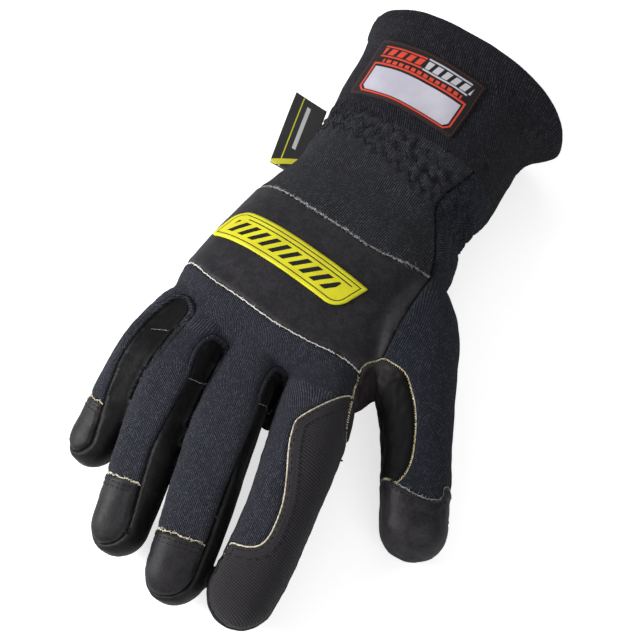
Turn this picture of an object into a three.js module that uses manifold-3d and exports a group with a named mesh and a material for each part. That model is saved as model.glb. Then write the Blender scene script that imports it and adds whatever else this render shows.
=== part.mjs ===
// A right-hand firefighter glove with a gauntlet cuff, lying palm down as if a hand filled it.
// Millimetres. The fingers point along -Y, the cuff opens along +Y, and the palm lies on z = 0.
// The origin is on the palm's flat underside, between the knuckles and the wrist.
import * as THREE from "three";
import { mergeVertices } from "three/addons/utils/BufferGeometryUtils.js";
import Module from "manifold-3d";

const wasm = await Module();
wasm.setup();

// Driving sizes
const palmLength = 121; // finger crotches to the wrist's elastic
const cuffLength = 50; // elastic to the cuff's rim
const palmWidth = 100;
const palmHeight = 45;
const wristWidth = 86;
const wristHeight = 50;
const cuffWidth = 107;
const cuffHeight = 64;
const wall = 1.6; // knit and leather, each with its lining
const seamGap = 0.3; // between neighbouring pieces
const gatherCount = 20; // pleats that the elastic draws in
const gatherHeight = 1.3;
const gatherReach = 9; // along the sleeve, each side of the elastic
const fingerLength = 115; // the middle finger, from its root inside the hand
const badgeLength = 67;
const badgeWidth = 16;
const badgeSlant = 4;
const badgeThickness = 0.9;
const labelLength = 53;
const labelWidth = 27;
const labelThickness = 0.7;
const tagLength = 40; // along the side seam
const tagReach = 17; // from the seam
const tagThickness = 1.4; // a ribbon folded in two
const hemLength = 15;
const hemThickness = 0.9; // the folded hem stands proud of the cuff by this much

const frontReach = 33; // from the origin to the finger crotches
const frontY = -frontReach;
const elasticY = frontY + palmLength;
const rimY = elasticY + cuffLength;
const rimYaw = THREE.MathUtils.degToRad(10); // the cuff leans to the thumb's side
const mouthReach = 30; // how far the hollow runs on past the rim, so that it is open

// Hand sections: `along` from the crotches (0) to the elastic (1), `centre` and `width` as
// shares of palmWidth, `height` as a share of palmHeight.
const palmSections = [
  { along: -0.02, centre: -0.1, width: 0.34, height: 0.66 },
  { along: 0.02, centre: -0.115, width: 0.64, height: 0.8 },
  { along: 0.09, centre: -0.135, width: 0.88, height: 0.9 },
  { along: 0.17, centre: -0.141, width: 0.97, height: 0.96 },
  { along: 0.28, centre: -0.138, width: 0.985, height: 1.0 },
  { along: 0.45, centre: -0.12, width: 0.96, height: 1.02 },
  { along: 0.6, centre: -0.085, width: 0.94, height: 1.03 },
  { along: 0.7, centre: -0.06, width: 0.91, height: 1.03 },
  { along: 0.8, centre: -0.056, width: 0.82, height: 1.04 },
  { along: 0.9, centre: -0.042, width: 0.83, height: 1.07 },
  { along: 1.0, centre: -0.02, width: 0.86, height: 1.11 },
];

// Cuff sections: `along` from the elastic (0) to the rim (1), `flare` from the wrist's size (0)
// to the cuff's (1), `rise` the same for its height, `centre` as a share of palmWidth.
const cuffSections = [
  { along: 0, flare: 0, rise: 0, centre: -0.02 },
  { along: 0.2, flare: 0.06, rise: 0.15, centre: -0.018 },
  { along: 0.42, flare: 0.1, rise: 0.42, centre: -0.018 },
  { along: 0.64, flare: 0.16, rise: 0.68, centre: -0.014 },
  { along: 0.82, flare: 0.36, rise: 0.88, centre: 0.002 },
  { along: 0.92, flare: 0.68, rise: 0.95, centre: 0.02 },
  { along: 1.0, flare: 1.0, rise: 1.0, centre: 0.036 },
];

// Folds in the cloth: valleys between two places given as shares of palmWidth and palmLength,
// `reach` and `depth` as shares of palmHeight.
const folds = [
  { name: "gusset", x0: 0.33, y0: -0.1, x1: 0.34, y1: 0.3, reach: 0.11, depth: 0.05 },
  { name: "wrist_right", x0: 0.27, y0: 0.4, x1: 0.42, y1: 0.62, reach: 0.16, depth: 0.09 },
  { name: "wrist_middle", x0: -0.1, y0: 0.5, x1: 0.18, y1: 0.42, reach: 0.2, depth: 0.04 },
  { name: "little_side", x0: -0.5, y0: 0.42, x1: -0.22, y1: 0.5, reach: 0.16, depth: 0.05 },
];

// Finger shape along its length: `height` of the centre as a share of palmHeight, `girth` as a
// share of the finger's width.
const fingerProfile = [
  { along: 0.0, height: 0.46, girth: 0.9 },
  { along: 0.2, height: 0.63, girth: 1.0 },
  { along: 0.42, height: 0.66, girth: 1.1 },
  { along: 0.6, height: 0.56, girth: 1.07 },
  { along: 0.8, height: 0.37, girth: 1.01 },
  { along: 1.0, height: 0.25, girth: 0.92 },
];
const indexProfile = [
  { along: 0.0, height: 0.44, girth: 0.95 },
  { along: 0.2, height: 0.61, girth: 1.16 },
  { along: 0.42, height: 0.65, girth: 1.14 },
  { along: 0.6, height: 0.55, girth: 1.04 },
  { along: 0.8, height: 0.37, girth: 1.04 },
  { along: 1.0, height: 0.25, girth: 0.98 },
];
const thumbProfile = [
  { along: 0.0, height: 0.36, girth: 0.95 },
  { along: 0.22, height: 0.46, girth: 1.46 },
  { along: 0.4, height: 0.46, girth: 1.31 },
  { along: 0.6, height: 0.4, girth: 1.08 },
  { along: 0.8, height: 0.34, girth: 1.02 },
  { along: 1.0, height: 0.29, girth: 0.98 },
];

// Fingers: `x` and `width` as shares of palmWidth, `y` of the root as a share of palmLength,
// `length` of fingerLength, `heading` in degrees from straight ahead towards the thumb, `curve`
// the sideways bow as a share of the length.
const fingerRows = [
  { name: "little", x: -0.5, y: 0.2, length: 0.76, width: 0.205, heading: -5.5, curve: -0.005 },
  { name: "ring", x: -0.4, y: 0.18, length: 0.98, width: 0.23, heading: 6, curve: -0.01 },
  { name: "middle", x: -0.16, y: 0.15, length: 1.015, width: 0.245, heading: 8.2, curve: 0.002 },
  { name: "index", x: 0.12, y: 0.15, length: 0.985, width: 0.254, heading: 6.4, curve: 0.05 },
  { name: "thumb", x: 0.2, y: 0.6, length: 1.096, width: 0.266, heading: 26.8, curve: 0.024 },
];

// What covers each finger: `cap` where the fingertip's leather starts, `cloth` how far round the
// back's cloth reaches, in degrees from the top towards the thumb's side, at places along it.
const covers = {
  little: {
    cap: 0.71,
    cloth: [
      { along: 0.2, from: -75, to: -6 },
      { along: 0.35, from: -75, to: -17 },
      { along: 0.52, from: -75, to: -21 },
      { along: 0.62, from: -75, to: -11 },
      { along: 0.71, from: -75, to: -1 },
      { along: 0.9, from: -75, to: 18 },
    ],
  },
  ring: {
    cap: 0.74,
    cloth: [
      { along: 0.2, from: -75, to: 42 },
      { along: 0.28, from: -75, to: 29 },
      { along: 0.4, from: -75, to: 34 },
      { along: 0.52, from: -75, to: 28 },
      { along: 0.64, from: -75, to: 22 },
      { along: 0.9, from: -75, to: 30 },
    ],
  },
  middle: {
    cap: 0.78,
    cloth: [
      { along: 0.18, from: -75, to: 57 },
      { along: 0.25, from: -75, to: 49 },
      { along: 0.4, from: -75, to: 51 },
      { along: 0.6, from: -75, to: 45 },
      { along: 0.9, from: -75, to: 43 },
    ],
  },
  index: { cap: 0.78, cloth: [{ along: 0, from: -78, to: 22 }] },
  thumb: { cap: 0.8, cloth: [{ along: 0, from: -37, to: 127 }] },
};
const indexPanelCloth = [{ along: 0, from: -58, to: 98 }];
const profiles = { index: indexProfile, thumb: thumbProfile };
const [little, ring, middle, index, thumb] = fingerRows.map((row) => ({
  ...row,
  ...covers[row.name],
  length: row.length * fingerLength,
  width: row.width * palmWidth,
  profile: profiles[row.name] ?? fingerProfile,
}));
const fingers = [little, ring, middle, index];

const fingerSides = 14;
const fingerRings = 8;
const tipRings = 3;
const innerSides = 10;
const skinMargin = 0.05; // a region round one finger reaches past its skin by this much
const tipRound = 0.5; // the fingertip's rounding starts this share of its width from the end

const ahead = new THREE.Vector3(0, -1, 0);
const upward = new THREE.Vector3(0, 0, 1);

// The value of one column of a table at a place along it, on a smooth curve through its rows.
function sample(rows, column, along) {
  const last = rows.length - 1;
  const value = (i) => rows[Math.min(Math.max(i, 0), last)][column];
  const place = (i) => rows[Math.min(Math.max(i, 0), last)].along;
  if (along <= place(0)) return value(0);
  if (along >= place(last)) return value(last);
  let i = 0;
  while (along > place(i + 1)) i++;
  const slope = (k) => (value(k + 1) - value(k - 1)) / (place(k + 1) - place(k - 1));
  const span = place(i + 1) - place(i);
  const t = (along - place(i)) / span;
  const t2 = t * t;
  const t3 = t2 * t;
  return (
    (2 * t3 - 3 * t2 + 1) * value(i) +
    (t3 - 2 * t2 + t) * span * slope(i) +
    (3 * t2 - 2 * t3) * value(i + 1) +
    (t3 - t2) * span * slope(i + 1)
  );
}

// A closed solid through rings of equal count, each running anticlockwise seen from its front.
function loft(rings) {
  const count = rings[0].length;
  const points = rings.flat();
  const faces = [];
  for (let r = 0; r + 1 < rings.length; r++) {
    for (let i = 0; i < count; i++) {
      const j = (i + 1) % count;
      const [a, b, c, d] = [r * count + i, r * count + j, (r + 1) * count + j, (r + 1) * count + i];
      faces.push(a, b, c, a, c, d);
    }
  }
  const middle = (ring) => ring.reduce((sum, p) => sum.add(p), new THREE.Vector3()).divideScalar(count);
  const first = points.push(middle(rings[0])) - 1;
  const last = points.push(middle(rings[rings.length - 1])) - 1;
  const base = (rings.length - 1) * count;
  for (let i = 0; i < count; i++) {
    const j = (i + 1) % count;
    faces.push(first, j, i, last, base + i, base + j);
  }
  const geometry = new THREE.BufferGeometry().setFromPoints(points);
  geometry.setIndex(faces);
  return toSolid(geometry);
}

// A three.js geometry as a solid that can be cut and joined, turned right side out if need be.
function toSolid(geometry) {
  const bare = geometry.clone();
  bare.deleteAttribute("normal");
  bare.deleteAttribute("uv");
  const merged = mergeVertices(bare, 1e-4);
  const triVerts = new Uint32Array(merged.index.array);
  const make = () =>
    new wasm.Manifold(
      new wasm.Mesh({ numProp: 3, vertProperties: merged.attributes.position.array, triVerts }),
    );
  let solid = make();
  if (solid.volume() < 0) {
    triVerts.reverse();
    solid = make();
  }
  return solid;
}

function joined(solids) {
  return solids.reduce((sum, solid) => sum.add(solid));
}

// A solid as a named mesh, without the crumbs that a cut can leave.
function toMesh(name, solid, material) {
  const parts = solid.decompose().sort((a, b) => b.volume() - a.volume());
  const mesh = parts[0].getMesh();
  const geometry = new THREE.BufferGeometry();
  geometry.setAttribute("position", new THREE.BufferAttribute(new Float32Array(mesh.vertProperties), 3));
  geometry.setIndex(new THREE.BufferAttribute(new Uint32Array(mesh.triVerts), 1));
  const flat = geometry.toNonIndexed();
  flat.computeVertexNormals();
  const made = new THREE.Mesh(flat, material);
  made.name = name;
  return made;
}

// A prism over an outline in plan, from one height to another, its walls pushed out by `grow`.
function prism(outline, low, high, grow = 0) {
  const count = outline.length;
  const turning = THREE.ShapeUtils.area(outline) < 0 ? -1 : 1;
  const moved = outline.map((point, i) => {
    const before = point.clone().sub(outline[(i + count - 1) % count]).normalize();
    const after = outline[(i + 1) % count].clone().sub(point).normalize();
    const outBefore = new THREE.Vector2(before.y, -before.x).multiplyScalar(turning);
    const outAfter = new THREE.Vector2(after.y, -after.x).multiplyScalar(turning);
    const corner = outBefore.add(outAfter);
    return corner.multiplyScalar((2 * grow) / corner.lengthSq()).add(point);
  });
  const geometry = new THREE.ExtrudeGeometry(new THREE.Shape(moved), {
    depth: high - low,
    bevelEnabled: false,
  });
  geometry.translate(0, 0, low);
  return toSolid(geometry);
}

// The hand's section at a distance from the crotches: its middle, size and turn.
function handAt(y) {
  if (y <= elasticY) {
    const along = (y - frontY) / palmLength;
    return {
      x: palmWidth * sample(palmSections, "centre", along),
      halfWidth: (palmWidth / 2) * sample(palmSections, "width", along),
      top: palmHeight * sample(palmSections, "height", along),
      yaw: rimYaw * THREE.MathUtils.smoothstep(along, 0.4, 1) * 0.4,
    };
  }
  const along = (y - elasticY) / cuffLength;
  const flare = sample(cuffSections, "flare", along);
  return {
    x: palmWidth * sample(cuffSections, "centre", along),
    halfWidth: THREE.MathUtils.lerp(wristWidth, cuffWidth, flare) / 2,
    top: THREE.MathUtils.lerp(wristHeight, cuffHeight, sample(cuffSections, "rise", along)),
    yaw: rimYaw * (0.4 + 0.6 * THREE.MathUtils.smoothstep(along, 0, 1)),
  };
}

// How deep the cloth's folds are at a place in plan.
function foldDepth(x, y) {
  let depth = 0;
  for (const fold of folds) {
    const from = new THREE.Vector2(fold.x0 * palmWidth, fold.y0 * palmLength);
    const to = new THREE.Vector2(fold.x1 * palmWidth, fold.y1 * palmLength);
    const run = to.clone().sub(from);
    const share = new THREE.Vector2(x, y).sub(from).dot(run) / run.lengthSq();
    const near = from.add(run.multiplyScalar(THREE.MathUtils.clamp(share, 0, 1)));
    const away = near.distanceTo(new THREE.Vector2(x, y)) / (fold.reach * palmHeight);
    depth += fold.depth * palmHeight * Math.exp(-away * away);
  }
  return depth;
}

const topSquare = 2.35; // how square the hand's section is above and below its widest level
const palmBaseSquare = 3.2;
const cuffBaseSquare = 2.1;
const palmWidest = 0.42; // height of the widest level as a share of the section's height
const cuffWidest = 0.34;
const sinkDepth = 2.5; // how far the round section would reach below the floor, where it lies flat

// One ring of the hand form, pushed in by `inset`, with its pleats if `gathered`.
function handRing(y, inset, count, gathered) {
  const at = handAt(y);
  const side = new THREE.Vector3(Math.cos(at.yaw), -Math.sin(at.yaw), 0);
  const fromElastic = (y - elasticY) / gatherReach;
  const pleat = gathered ? gatherHeight * Math.exp(-fromElastic * fromElastic) : 0;
  const hem = gathered && y > rimY - hemLength - 0.01 ? hemThickness : 0;
  const roundness = THREE.MathUtils.smoothstep(y, frontY + palmLength * 0.6, rimY);
  const baseSquare = THREE.MathUtils.lerp(palmBaseSquare, cuffBaseSquare, roundness);
  const widest = THREE.MathUtils.lerp(palmWidest, cuffWidest, roundness);
  const centre = new THREE.Vector3(at.x, y, widest * at.top);
  return Array.from({ length: count }, (_, i) => {
    const angle = (2 * Math.PI * i) / count;
    const [c, s] = [Math.cos(angle), Math.sin(angle)];
    const power = 2 / (s > 0 ? topSquare : baseSquare);
    const out = (i % 2 ? pleat : 0) + hem - inset;
    const above = (1 - widest) * at.top + out;
    const below = widest * at.top + sinkDepth + out;
    const point = centre.clone();
    point.addScaledVector(side, Math.sign(c) * Math.abs(c) ** power * (at.halfWidth + out));
    point.z += Math.sign(s) * Math.abs(s) ** power * (s > 0 ? above : below);
    if (s > 0) point.z -= foldDepth(point.x, point.y) * s;
    point.z = Math.max(point.z, inset);
    return point;
  });
}

// The hand and cuff as one closed form. A positive inset gives the hollow, which runs out past the rim.
function handForm(inset, count, places, gathered) {
  return loft(places.map((y) => handRing(y, inset, count, gathered)));
}

function spaced(from, to, count) {
  return Array.from({ length: count }, (_, i) => from + ((to - from) * i) / (count - 1));
}

// The frame of a finger at a share of its length: centre, side towards the thumb, up and half-size.
function fingerAt(finger, along) {
  const heading = THREE.MathUtils.degToRad(finger.heading);
  const direction = ahead.clone().applyAxisAngle(upward, heading);
  const sideways = new THREE.Vector3().crossVectors(direction, upward).negate();
  const place = (share) => {
    const bow = finger.curve * finger.length * Math.sin(Math.PI * THREE.MathUtils.clamp(share, 0, 1));
    return new THREE.Vector3(finger.x * palmWidth, frontY + finger.y * palmLength, 0)
      .addScaledVector(direction, share * finger.length)
      .addScaledVector(sideways, bow)
      .setZ(palmHeight * sample(finger.profile, "height", share));
  };
  const step = 0.01;
  const tangent = place(along + step).sub(place(along - step)).normalize();
  const side = new THREE.Vector3().crossVectors(tangent, upward).negate().normalize();
  const up = new THREE.Vector3().crossVectors(tangent, side).normalize();
  return {
    centre: place(along),
    side,
    up,
    half: (finger.width / 2) * sample(finger.profile, "girth", along),
  };
}

const fingerSquare = 2.5;
const fingerFlatness = 0.93; // a finger's height over its width

function fingerRing(finger, along, inset, count, shrink) {
  const at = fingerAt(finger, along);
  return Array.from({ length: count }, (_, i) => {
    const angle = (2 * Math.PI * (i + 0.5)) / count;
    const [c, s] = [Math.cos(angle), Math.sin(angle)];
    const power = 2 / fingerSquare;
    const half = (at.half - inset) * shrink;
    const point = at.centre.clone();
    point.addScaledVector(at.side, Math.sign(c) * Math.abs(c) ** power * half);
    point.addScaledVector(at.up, Math.sign(s) * Math.abs(s) ** power * half * fingerFlatness);
    point.z = Math.max(point.z, inset);
    return point;
  });
}

// A finger as a closed form, round at its tip, its root buried in the hand.
function fingerForm(finger, inset, count, rings) {
  const end = 1 - inset / finger.length;
  const roundFrom = end - (tipRound * finger.width) / finger.length;
  const sections = spaced(0, roundFrom, rings).map((along) => fingerRing(finger, along, inset, count, 1));
  for (let i = 1; i <= tipRings; i++) {
    const turn = (i / (tipRings + 0.35)) * (Math.PI / 2);
    const along = roundFrom + (end - roundFrom) * Math.sin(turn);
    sections.push(fingerRing(finger, along, inset, count, Math.cos(turn)));
  }
  return loft(sections);
}

// The part of space on the back of a finger, between two shares of its length.
function backOf(finger, from, to, grow = 0) {
  const shares = spaced(from, to, 7);
  shares[0] -= grow / finger.length;
  shares[6] += grow / finger.length;
  const sections = shares.map((along) => {
    const at = fingerAt(finger, along);
    const first = THREE.MathUtils.degToRad(sample(finger.cloth, "from", along));
    const last = THREE.MathUtils.degToRad(sample(finger.cloth, "to", along));
    const roll = (first + last) / 2;
    const cover = Math.cos((last - first) / 2);
    const outward = at.up.clone().multiplyScalar(Math.cos(roll)).addScaledVector(at.side, Math.sin(roll));
    const across = at.side.clone().multiplyScalar(Math.cos(roll)).addScaledVector(at.up, -Math.sin(roll));
    const wide = at.half * 1.25 + grow;
    const low = at.half * cover - grow;
    const high = at.half * 1.5;
    const corner = (a, o) => at.centre.clone().addScaledVector(across, a).addScaledVector(outward, o);
    return [corner(-wide, low), corner(wide, low), corner(wide, high), corner(-wide, high)];
  });
  return loft(sections).intersect(fingerForm(finger, -skinMargin - grow, fingerSides, fingerRings));
}

const plan = (points) => points.map(([x, y]) => new THREE.Vector2(x * palmWidth, frontY + y * palmLength));

// Outlines in plan, as shares of palmWidth across and palmLength from the crotches.
const bandFront = plan([
  [-0.75, 0.31], [-0.6, 0.25], [-0.45, 0.19], [-0.29, 0.157], [-0.11, 0.126], [0.06, 0.12], [0.18, 0.128],
  [0.36, 0.122],
]);
const bandRear = plan([
  [0.4, 0.57], [0.12, 0.52], [-0.05, 0.537], [-0.28, 0.578], [-0.47, 0.628], [-0.75, 0.7],
]);
const gusset = plan([
  [0.27, 0.122], [0.275, 0.165], [0.32, 0.2], [0.33, 0.35], [0.335, 0.545], [0.31, 0.64], [0.265, 0.727],
  [0.23, 0.79], [0.238, 0.85], [0.27, 0.92], [0.31, 1.0], [0.36, 1.1],
]);
const webOutline = plan([
  [0.32, 0.198], [0.28, 0.165], [0.27, 0.124], [0.283, 0.065], [0.3, 0.02], [0.32, -0.041], [0.342, -0.095],
  [0.36, -0.125], [0.385, -0.105], [0.4, -0.14], [0.46, -0.3], [0.48, -0.3], [0.55, -0.16], [0.59, -0.157],
  [0.61, -0.116], [0.605, -0.06], [0.57, 0.025], [0.53, 0.09], [0.49, 0.132], [0.44, 0.174], [0.37, 0.192],
]);
const thumbCapOutline = plan([
  [0.46, -0.13], [0.59, -0.157], [0.68, -0.165], [0.74, -0.16], [0.775, -0.13], [0.79, -0.07], [1.1, 0.0],
  [1.1, -0.7], [0.46, -0.7],
]);
const indexPanelOutline = plan([
  [0.08, -0.565], [0.21, -0.57], [0.27, -0.53], [0.27, -0.43], [0.24, -0.347], [0.19, -0.25],
  [0.17, -0.19], [0.17, -0.15], [0.24, -0.05], [0.29, 0.02], [0.5, 0.02], [0.55, -0.5],
  [0.5, -0.95], [0.0, -0.95],
]);

// A parallelogram in plan about a middle, turned clockwise by an angle in degrees.
function slab(middle, length, width, slant, turn) {
  const centre = plan([middle])[0];
  const angle = THREE.MathUtils.degToRad(-turn);
  const corner = (u, v) => new THREE.Vector2(u, v).rotateAround(new THREE.Vector2(), angle).add(centre);
  const [u, v] = [length / 2, width / 2];
  return [
    corner(-u - slant / 2, -v),
    corner(u - slant / 2, -v),
    corner(u + slant / 2, v),
    corner(-u + slant / 2, v),
  ];
}

const skyHigh = cuffHeight * 2;
const belowFloor = -wall;

// Where the back's pieces meet the palm leather: `along` a share of palmLength from the crotches,
// `height` a share of palmHeight.
const partingLine = [
  { along: -0.6, height: 0.66 },
  { along: 0.1, height: 0.6 },
  { along: 0.3, height: 0.42 },
  { along: 1.4, height: 0.4 },
];

// The space above the parting line.
function aboveParting(grow) {
  const corners = partingLine.map(
    ({ along, height }) => new THREE.Vector2(frontY + along * palmLength, height * palmHeight - grow),
  );
  const outline = new THREE.Shape([
    ...corners,
    new THREE.Vector2(corners.at(-1).x, skyHigh),
    new THREE.Vector2(corners[0].x, skyHigh),
  ]);
  const geometry = new THREE.ExtrudeGeometry(outline, { depth: 4 * palmWidth, bevelEnabled: false });
  geometry.translate(0, 0, -2 * palmWidth);
  const [lengthwise, sideways] = [new THREE.Vector3(0, 1, 0), new THREE.Vector3(1, 0, 0)];
  geometry.applyMatrix4(new THREE.Matrix4().makeBasis(lengthwise, upward, sideways));
  return toSolid(geometry);
}

// The part of that space over an outline.
function overBack(outline, grow) {
  return prism(outline, belowFloor, skyHigh, grow).intersect(aboveParting(grow));
}

const thumbSideLow = palmHeight * 0.2;

const knit = new THREE.MeshStandardMaterial({ color: 0x1d2128, roughness: 0.95, metalness: 0 });
const leather = new THREE.MeshStandardMaterial({ color: 0x242226, roughness: 0.55, metalness: 0 });
const twill = new THREE.MeshStandardMaterial({ color: 0x2a282a, roughness: 0.75, metalness: 0 });
const yellow = new THREE.MeshStandardMaterial({ color: 0xe8e020, roughness: 0.5, metalness: 0 });
const woven = new THREE.MeshStandardMaterial({ color: 0x16161a, roughness: 0.7, metalness: 0 });

const handPlaces = [
  ...spaced(frontY - 2, elasticY - gatherReach * 1.6, 13),
  ...[-1, -0.45, 0, 0.45, 1].map((share) => elasticY + share * gatherReach),
  elasticY + (cuffLength - hemLength) * 0.62,
  rimY - hemLength - 0.7,
  rimY - hemLength,
  rimY - hemLength / 2,
  rimY,
];
const hollowPlaces = [...spaced(frontY, rimY, 12), rimY + mouthReach];
const handSides = 2 * gatherCount;
const hollowSides = gatherCount;

const outside = joined([
  handForm(0, handSides, handPlaces, true),
  ...fingers.map((finger) => fingerForm(finger, 0, fingerSides, fingerRings)),
  fingerForm(thumb, 0, fingerSides, fingerRings),
]);
const hollow = joined([
  handForm(wall, hollowSides, hollowPlaces, false),
  ...fingers.map((finger) => fingerForm(finger, wall, innerSides, fingerRings - 2)),
  fingerForm(thumb, wall, innerSides, fingerRings - 2),
]);
let rest = outside.subtract(hollow);

const group = new THREE.Group();

// Takes the part of the glove inside a region off what is left, with a seam gap round it.
function take(name, region, material) {
  const inside = region(0);
  group.add(toMesh(name, rest.intersect(inside), material));
  rest = rest.subtract(region(seamGap).add(inside));
}

const elasticAt = handAt(elasticY);
const elasticLine = (x) => elasticY - (x - elasticAt.x) * Math.tan(elasticAt.yaw);
const farOut = palmWidth * 1.2;
const rearEdge = [-farOut, farOut].map((x) => new THREE.Vector2(x, elasticLine(x)));
const cuffOutline = [
  ...rearEdge,
  new THREE.Vector2(farOut, rimY + farOut),
  new THREE.Vector2(-farOut, rimY + farOut),
];
take("cuff", (grow) => prism(cuffOutline, belowFloor, skyHigh, grow), knit);

for (const finger of [little, ring, middle]) {
  take(`cap_${finger.name}`, (grow) => backOf(finger, finger.cap, 1.02, grow), leather);
}

take("thumb_cap", (grow) => prism(thumbCapOutline, thumbSideLow, skyHigh, grow), leather);
take("web_patch", (grow) => prism(webOutline, thumbSideLow, skyHigh, grow), leather);
const indexSide = { ...index, cloth: indexPanelCloth };
const indexPanel = (grow) => prism(indexPanelOutline, belowFloor, skyHigh, grow);
take("index_panel", (grow) => indexPanel(grow).intersect(backOf(indexSide, 0.1, 1.03, grow)), twill);

const thumbOutline = [...gusset, rearEdge[1], new THREE.Vector2(farOut, gusset[0].y)];
take(
  "thumb_side",
  (grow) => prism(thumbOutline, thumbSideLow, skyHigh, grow).add(backOf(thumb, 0.35, thumb.cap + 0.1, grow)),
  knit,
);
take("knuckle_band", (grow) => overBack([...bandFront, ...bandRear], grow), leather);
take("wrist_back", (grow) => overBack([...bandRear, ...rearEdge], grow), knit);

const frontOutline = [
  ...bandFront,
  ...plan([[0.34, -0.14], [0.08, -0.14], [0, 0], [-0.29, 0], [-0.42, 0.05], [-0.5, 0.09], [-0.8, 0.09]]),
];
const fingerBacks = (grow) => fingers.map((finger) => backOf(finger, 0.05, finger.cap, grow));
take("finger_back", (grow) => joined([overBack(frontOutline, grow), ...fingerBacks(grow)]), knit);

group.add(toMesh("palm", rest, leather));

// A flat piece that lies on the hand's outside, as far off it as a seam gap.
function laidOn(outline, thickness) {
  const under = handForm(-seamGap, handSides, handPlaces, true);
  const over = handForm(-seamGap - thickness, handSides, handPlaces, true);
  return over.subtract(under).intersect(prism(outline, cuffHeight * 0.4, skyHigh));
}

const badgeOutline = slab([-0.2075, 0.37], badgeLength, badgeWidth, badgeSlant, 12);
group.add(toMesh("badge", laidOn(badgeOutline, badgeThickness), yellow));
const labelOutline = slab([-0.082, 1.174], labelLength, labelWidth, 0, 9);
group.add(toMesh("name_label", laidOn(labelOutline, labelThickness), woven));

const tagMiddle = [-0.466, 0.962];
const tagLevel = palmHeight * 0.42;
const tagOutline = slab(tagMiddle, 2 * tagReach - 2, tagLength, -10, 2);
const ribbon = prism(tagOutline, tagLevel - tagThickness / 2, tagLevel + tagThickness / 2);
const outsideGrown = handForm(-seamGap, handSides, handPlaces, true);
const leftOfHand = plan([[-2, -1], [-0.3, -1], [-0.3, 3], [-2, 3]]);
const ribbonOutside = ribbon.subtract(outsideGrown).intersect(prism(leftOfHand, belowFloor, skyHigh));
group.add(toMesh("side_tag", ribbonOutside, woven));

export default group;
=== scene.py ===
import math
import random

import bmesh
import bpy
import numpy as np
from mathutils import Matrix, Vector, kdtree, noise
from mathutils.bvhtree import BVHTree


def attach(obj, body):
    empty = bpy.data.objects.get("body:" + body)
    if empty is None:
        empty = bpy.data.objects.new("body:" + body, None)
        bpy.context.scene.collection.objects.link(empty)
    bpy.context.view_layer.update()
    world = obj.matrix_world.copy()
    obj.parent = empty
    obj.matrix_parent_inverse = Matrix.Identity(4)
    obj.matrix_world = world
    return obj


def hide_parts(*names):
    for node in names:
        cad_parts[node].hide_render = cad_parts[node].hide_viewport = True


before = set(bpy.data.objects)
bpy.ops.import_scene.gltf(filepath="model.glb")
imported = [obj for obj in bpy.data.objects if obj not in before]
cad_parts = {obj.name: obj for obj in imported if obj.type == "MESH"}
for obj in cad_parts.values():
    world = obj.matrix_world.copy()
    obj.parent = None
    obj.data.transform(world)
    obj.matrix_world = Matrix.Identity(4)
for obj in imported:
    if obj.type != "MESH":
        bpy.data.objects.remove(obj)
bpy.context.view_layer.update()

# Firefighter glove for the right hand, palm down, as if a hand filled it.
# Shapes are worked out in millimetres and every finished mesh is scaled to metres at the end.
random.seed(11)
toMetres = Matrix.Scale(0.001, 4)

# sizes of the glove's body
hand = {
    "frontY": -33.0, "palmLength": 121.0, "cuffLength": 50.0,
    "palmWidth": 100.0, "palmHeight": 45.0, "wristWidth": 86.0, "wristHeight": 50.0,
    "cuffWidth": 107.0, "cuffHeight": 64.0, "rimYaw": 10.0, "palmYaw": 0.4, "yawFrom": 0.4, "sink": 2.5,
    "topSquare": 2.35, "palmBaseSquare": 3.2, "cuffBaseSquare": 2.1, "cuffBaseFrom": 0.6,
    "palmWidest": 0.42, "cuffWidest": 0.34, "front": 2.0, "spare": 3.0, "spareFlare": 0.9, "spareRise": 0.15,
}
elasticY = hand["frontY"] + hand["palmLength"]
rimY = elasticY + hand["cuffLength"]
rimYaw = math.radians(hand["rimYaw"])

# hand sections: along from the finger crotches (0) to the elastic (1)
palmSections = {
    "along": (-0.02, 0.02, 0.09, 0.17, 0.28, 0.45, 0.6, 0.7, 0.8, 0.9, 1.0),
    "centre": (-0.1, -0.115, -0.135, -0.141, -0.138, -0.12, -0.085, -0.06, -0.056, -0.042, -0.02),
    "width": (0.34, 0.64, 0.88, 0.97, 0.985, 0.96, 0.94, 0.91, 0.82, 0.83, 0.86),
    "height": (0.66, 0.8, 0.9, 0.96, 1.0, 1.02, 1.03, 1.03, 1.04, 1.07, 1.11),
}
# cuff sections: along from the elastic (0) to the rim (1)
cuffSections = {
    "along": (0.0, 0.2, 0.42, 0.64, 0.82, 0.92, 1.0),
    "flare": (0.0, 0.06, 0.1, 0.16, 0.36, 0.68, 1.0),
    "rise": (0.0, 0.15, 0.42, 0.68, 0.88, 0.95, 1.0),
    "centre": (-0.02, -0.018, -0.018, -0.014, 0.002, 0.02, 0.036),
}
# profiles: along from a finger's root (0) to its tip (1)
fingerProfile = {
    "along": (0.0, 0.2, 0.42, 0.6, 0.8, 1.0),
    "height": (0.46, 0.63, 0.66, 0.56, 0.37, 0.25),
    "girth": (0.9, 1.0, 1.1, 1.07, 1.01, 0.92),
}
indexProfile = {
    "along": (0.0, 0.2, 0.42, 0.6, 0.8, 1.0),
    "height": (0.44, 0.61, 0.65, 0.55, 0.37, 0.25),
    "girth": (0.95, 1.16, 1.14, 1.04, 1.04, 0.98),
}
thumbProfile = {
    "along": (0.0, 0.22, 0.4, 0.6, 0.8, 1.0),
    "height": (0.36, 0.46, 0.46, 0.4, 0.34, 0.29),
    "girth": (0.95, 1.46, 1.31, 1.08, 1.02, 0.98),
}

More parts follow.
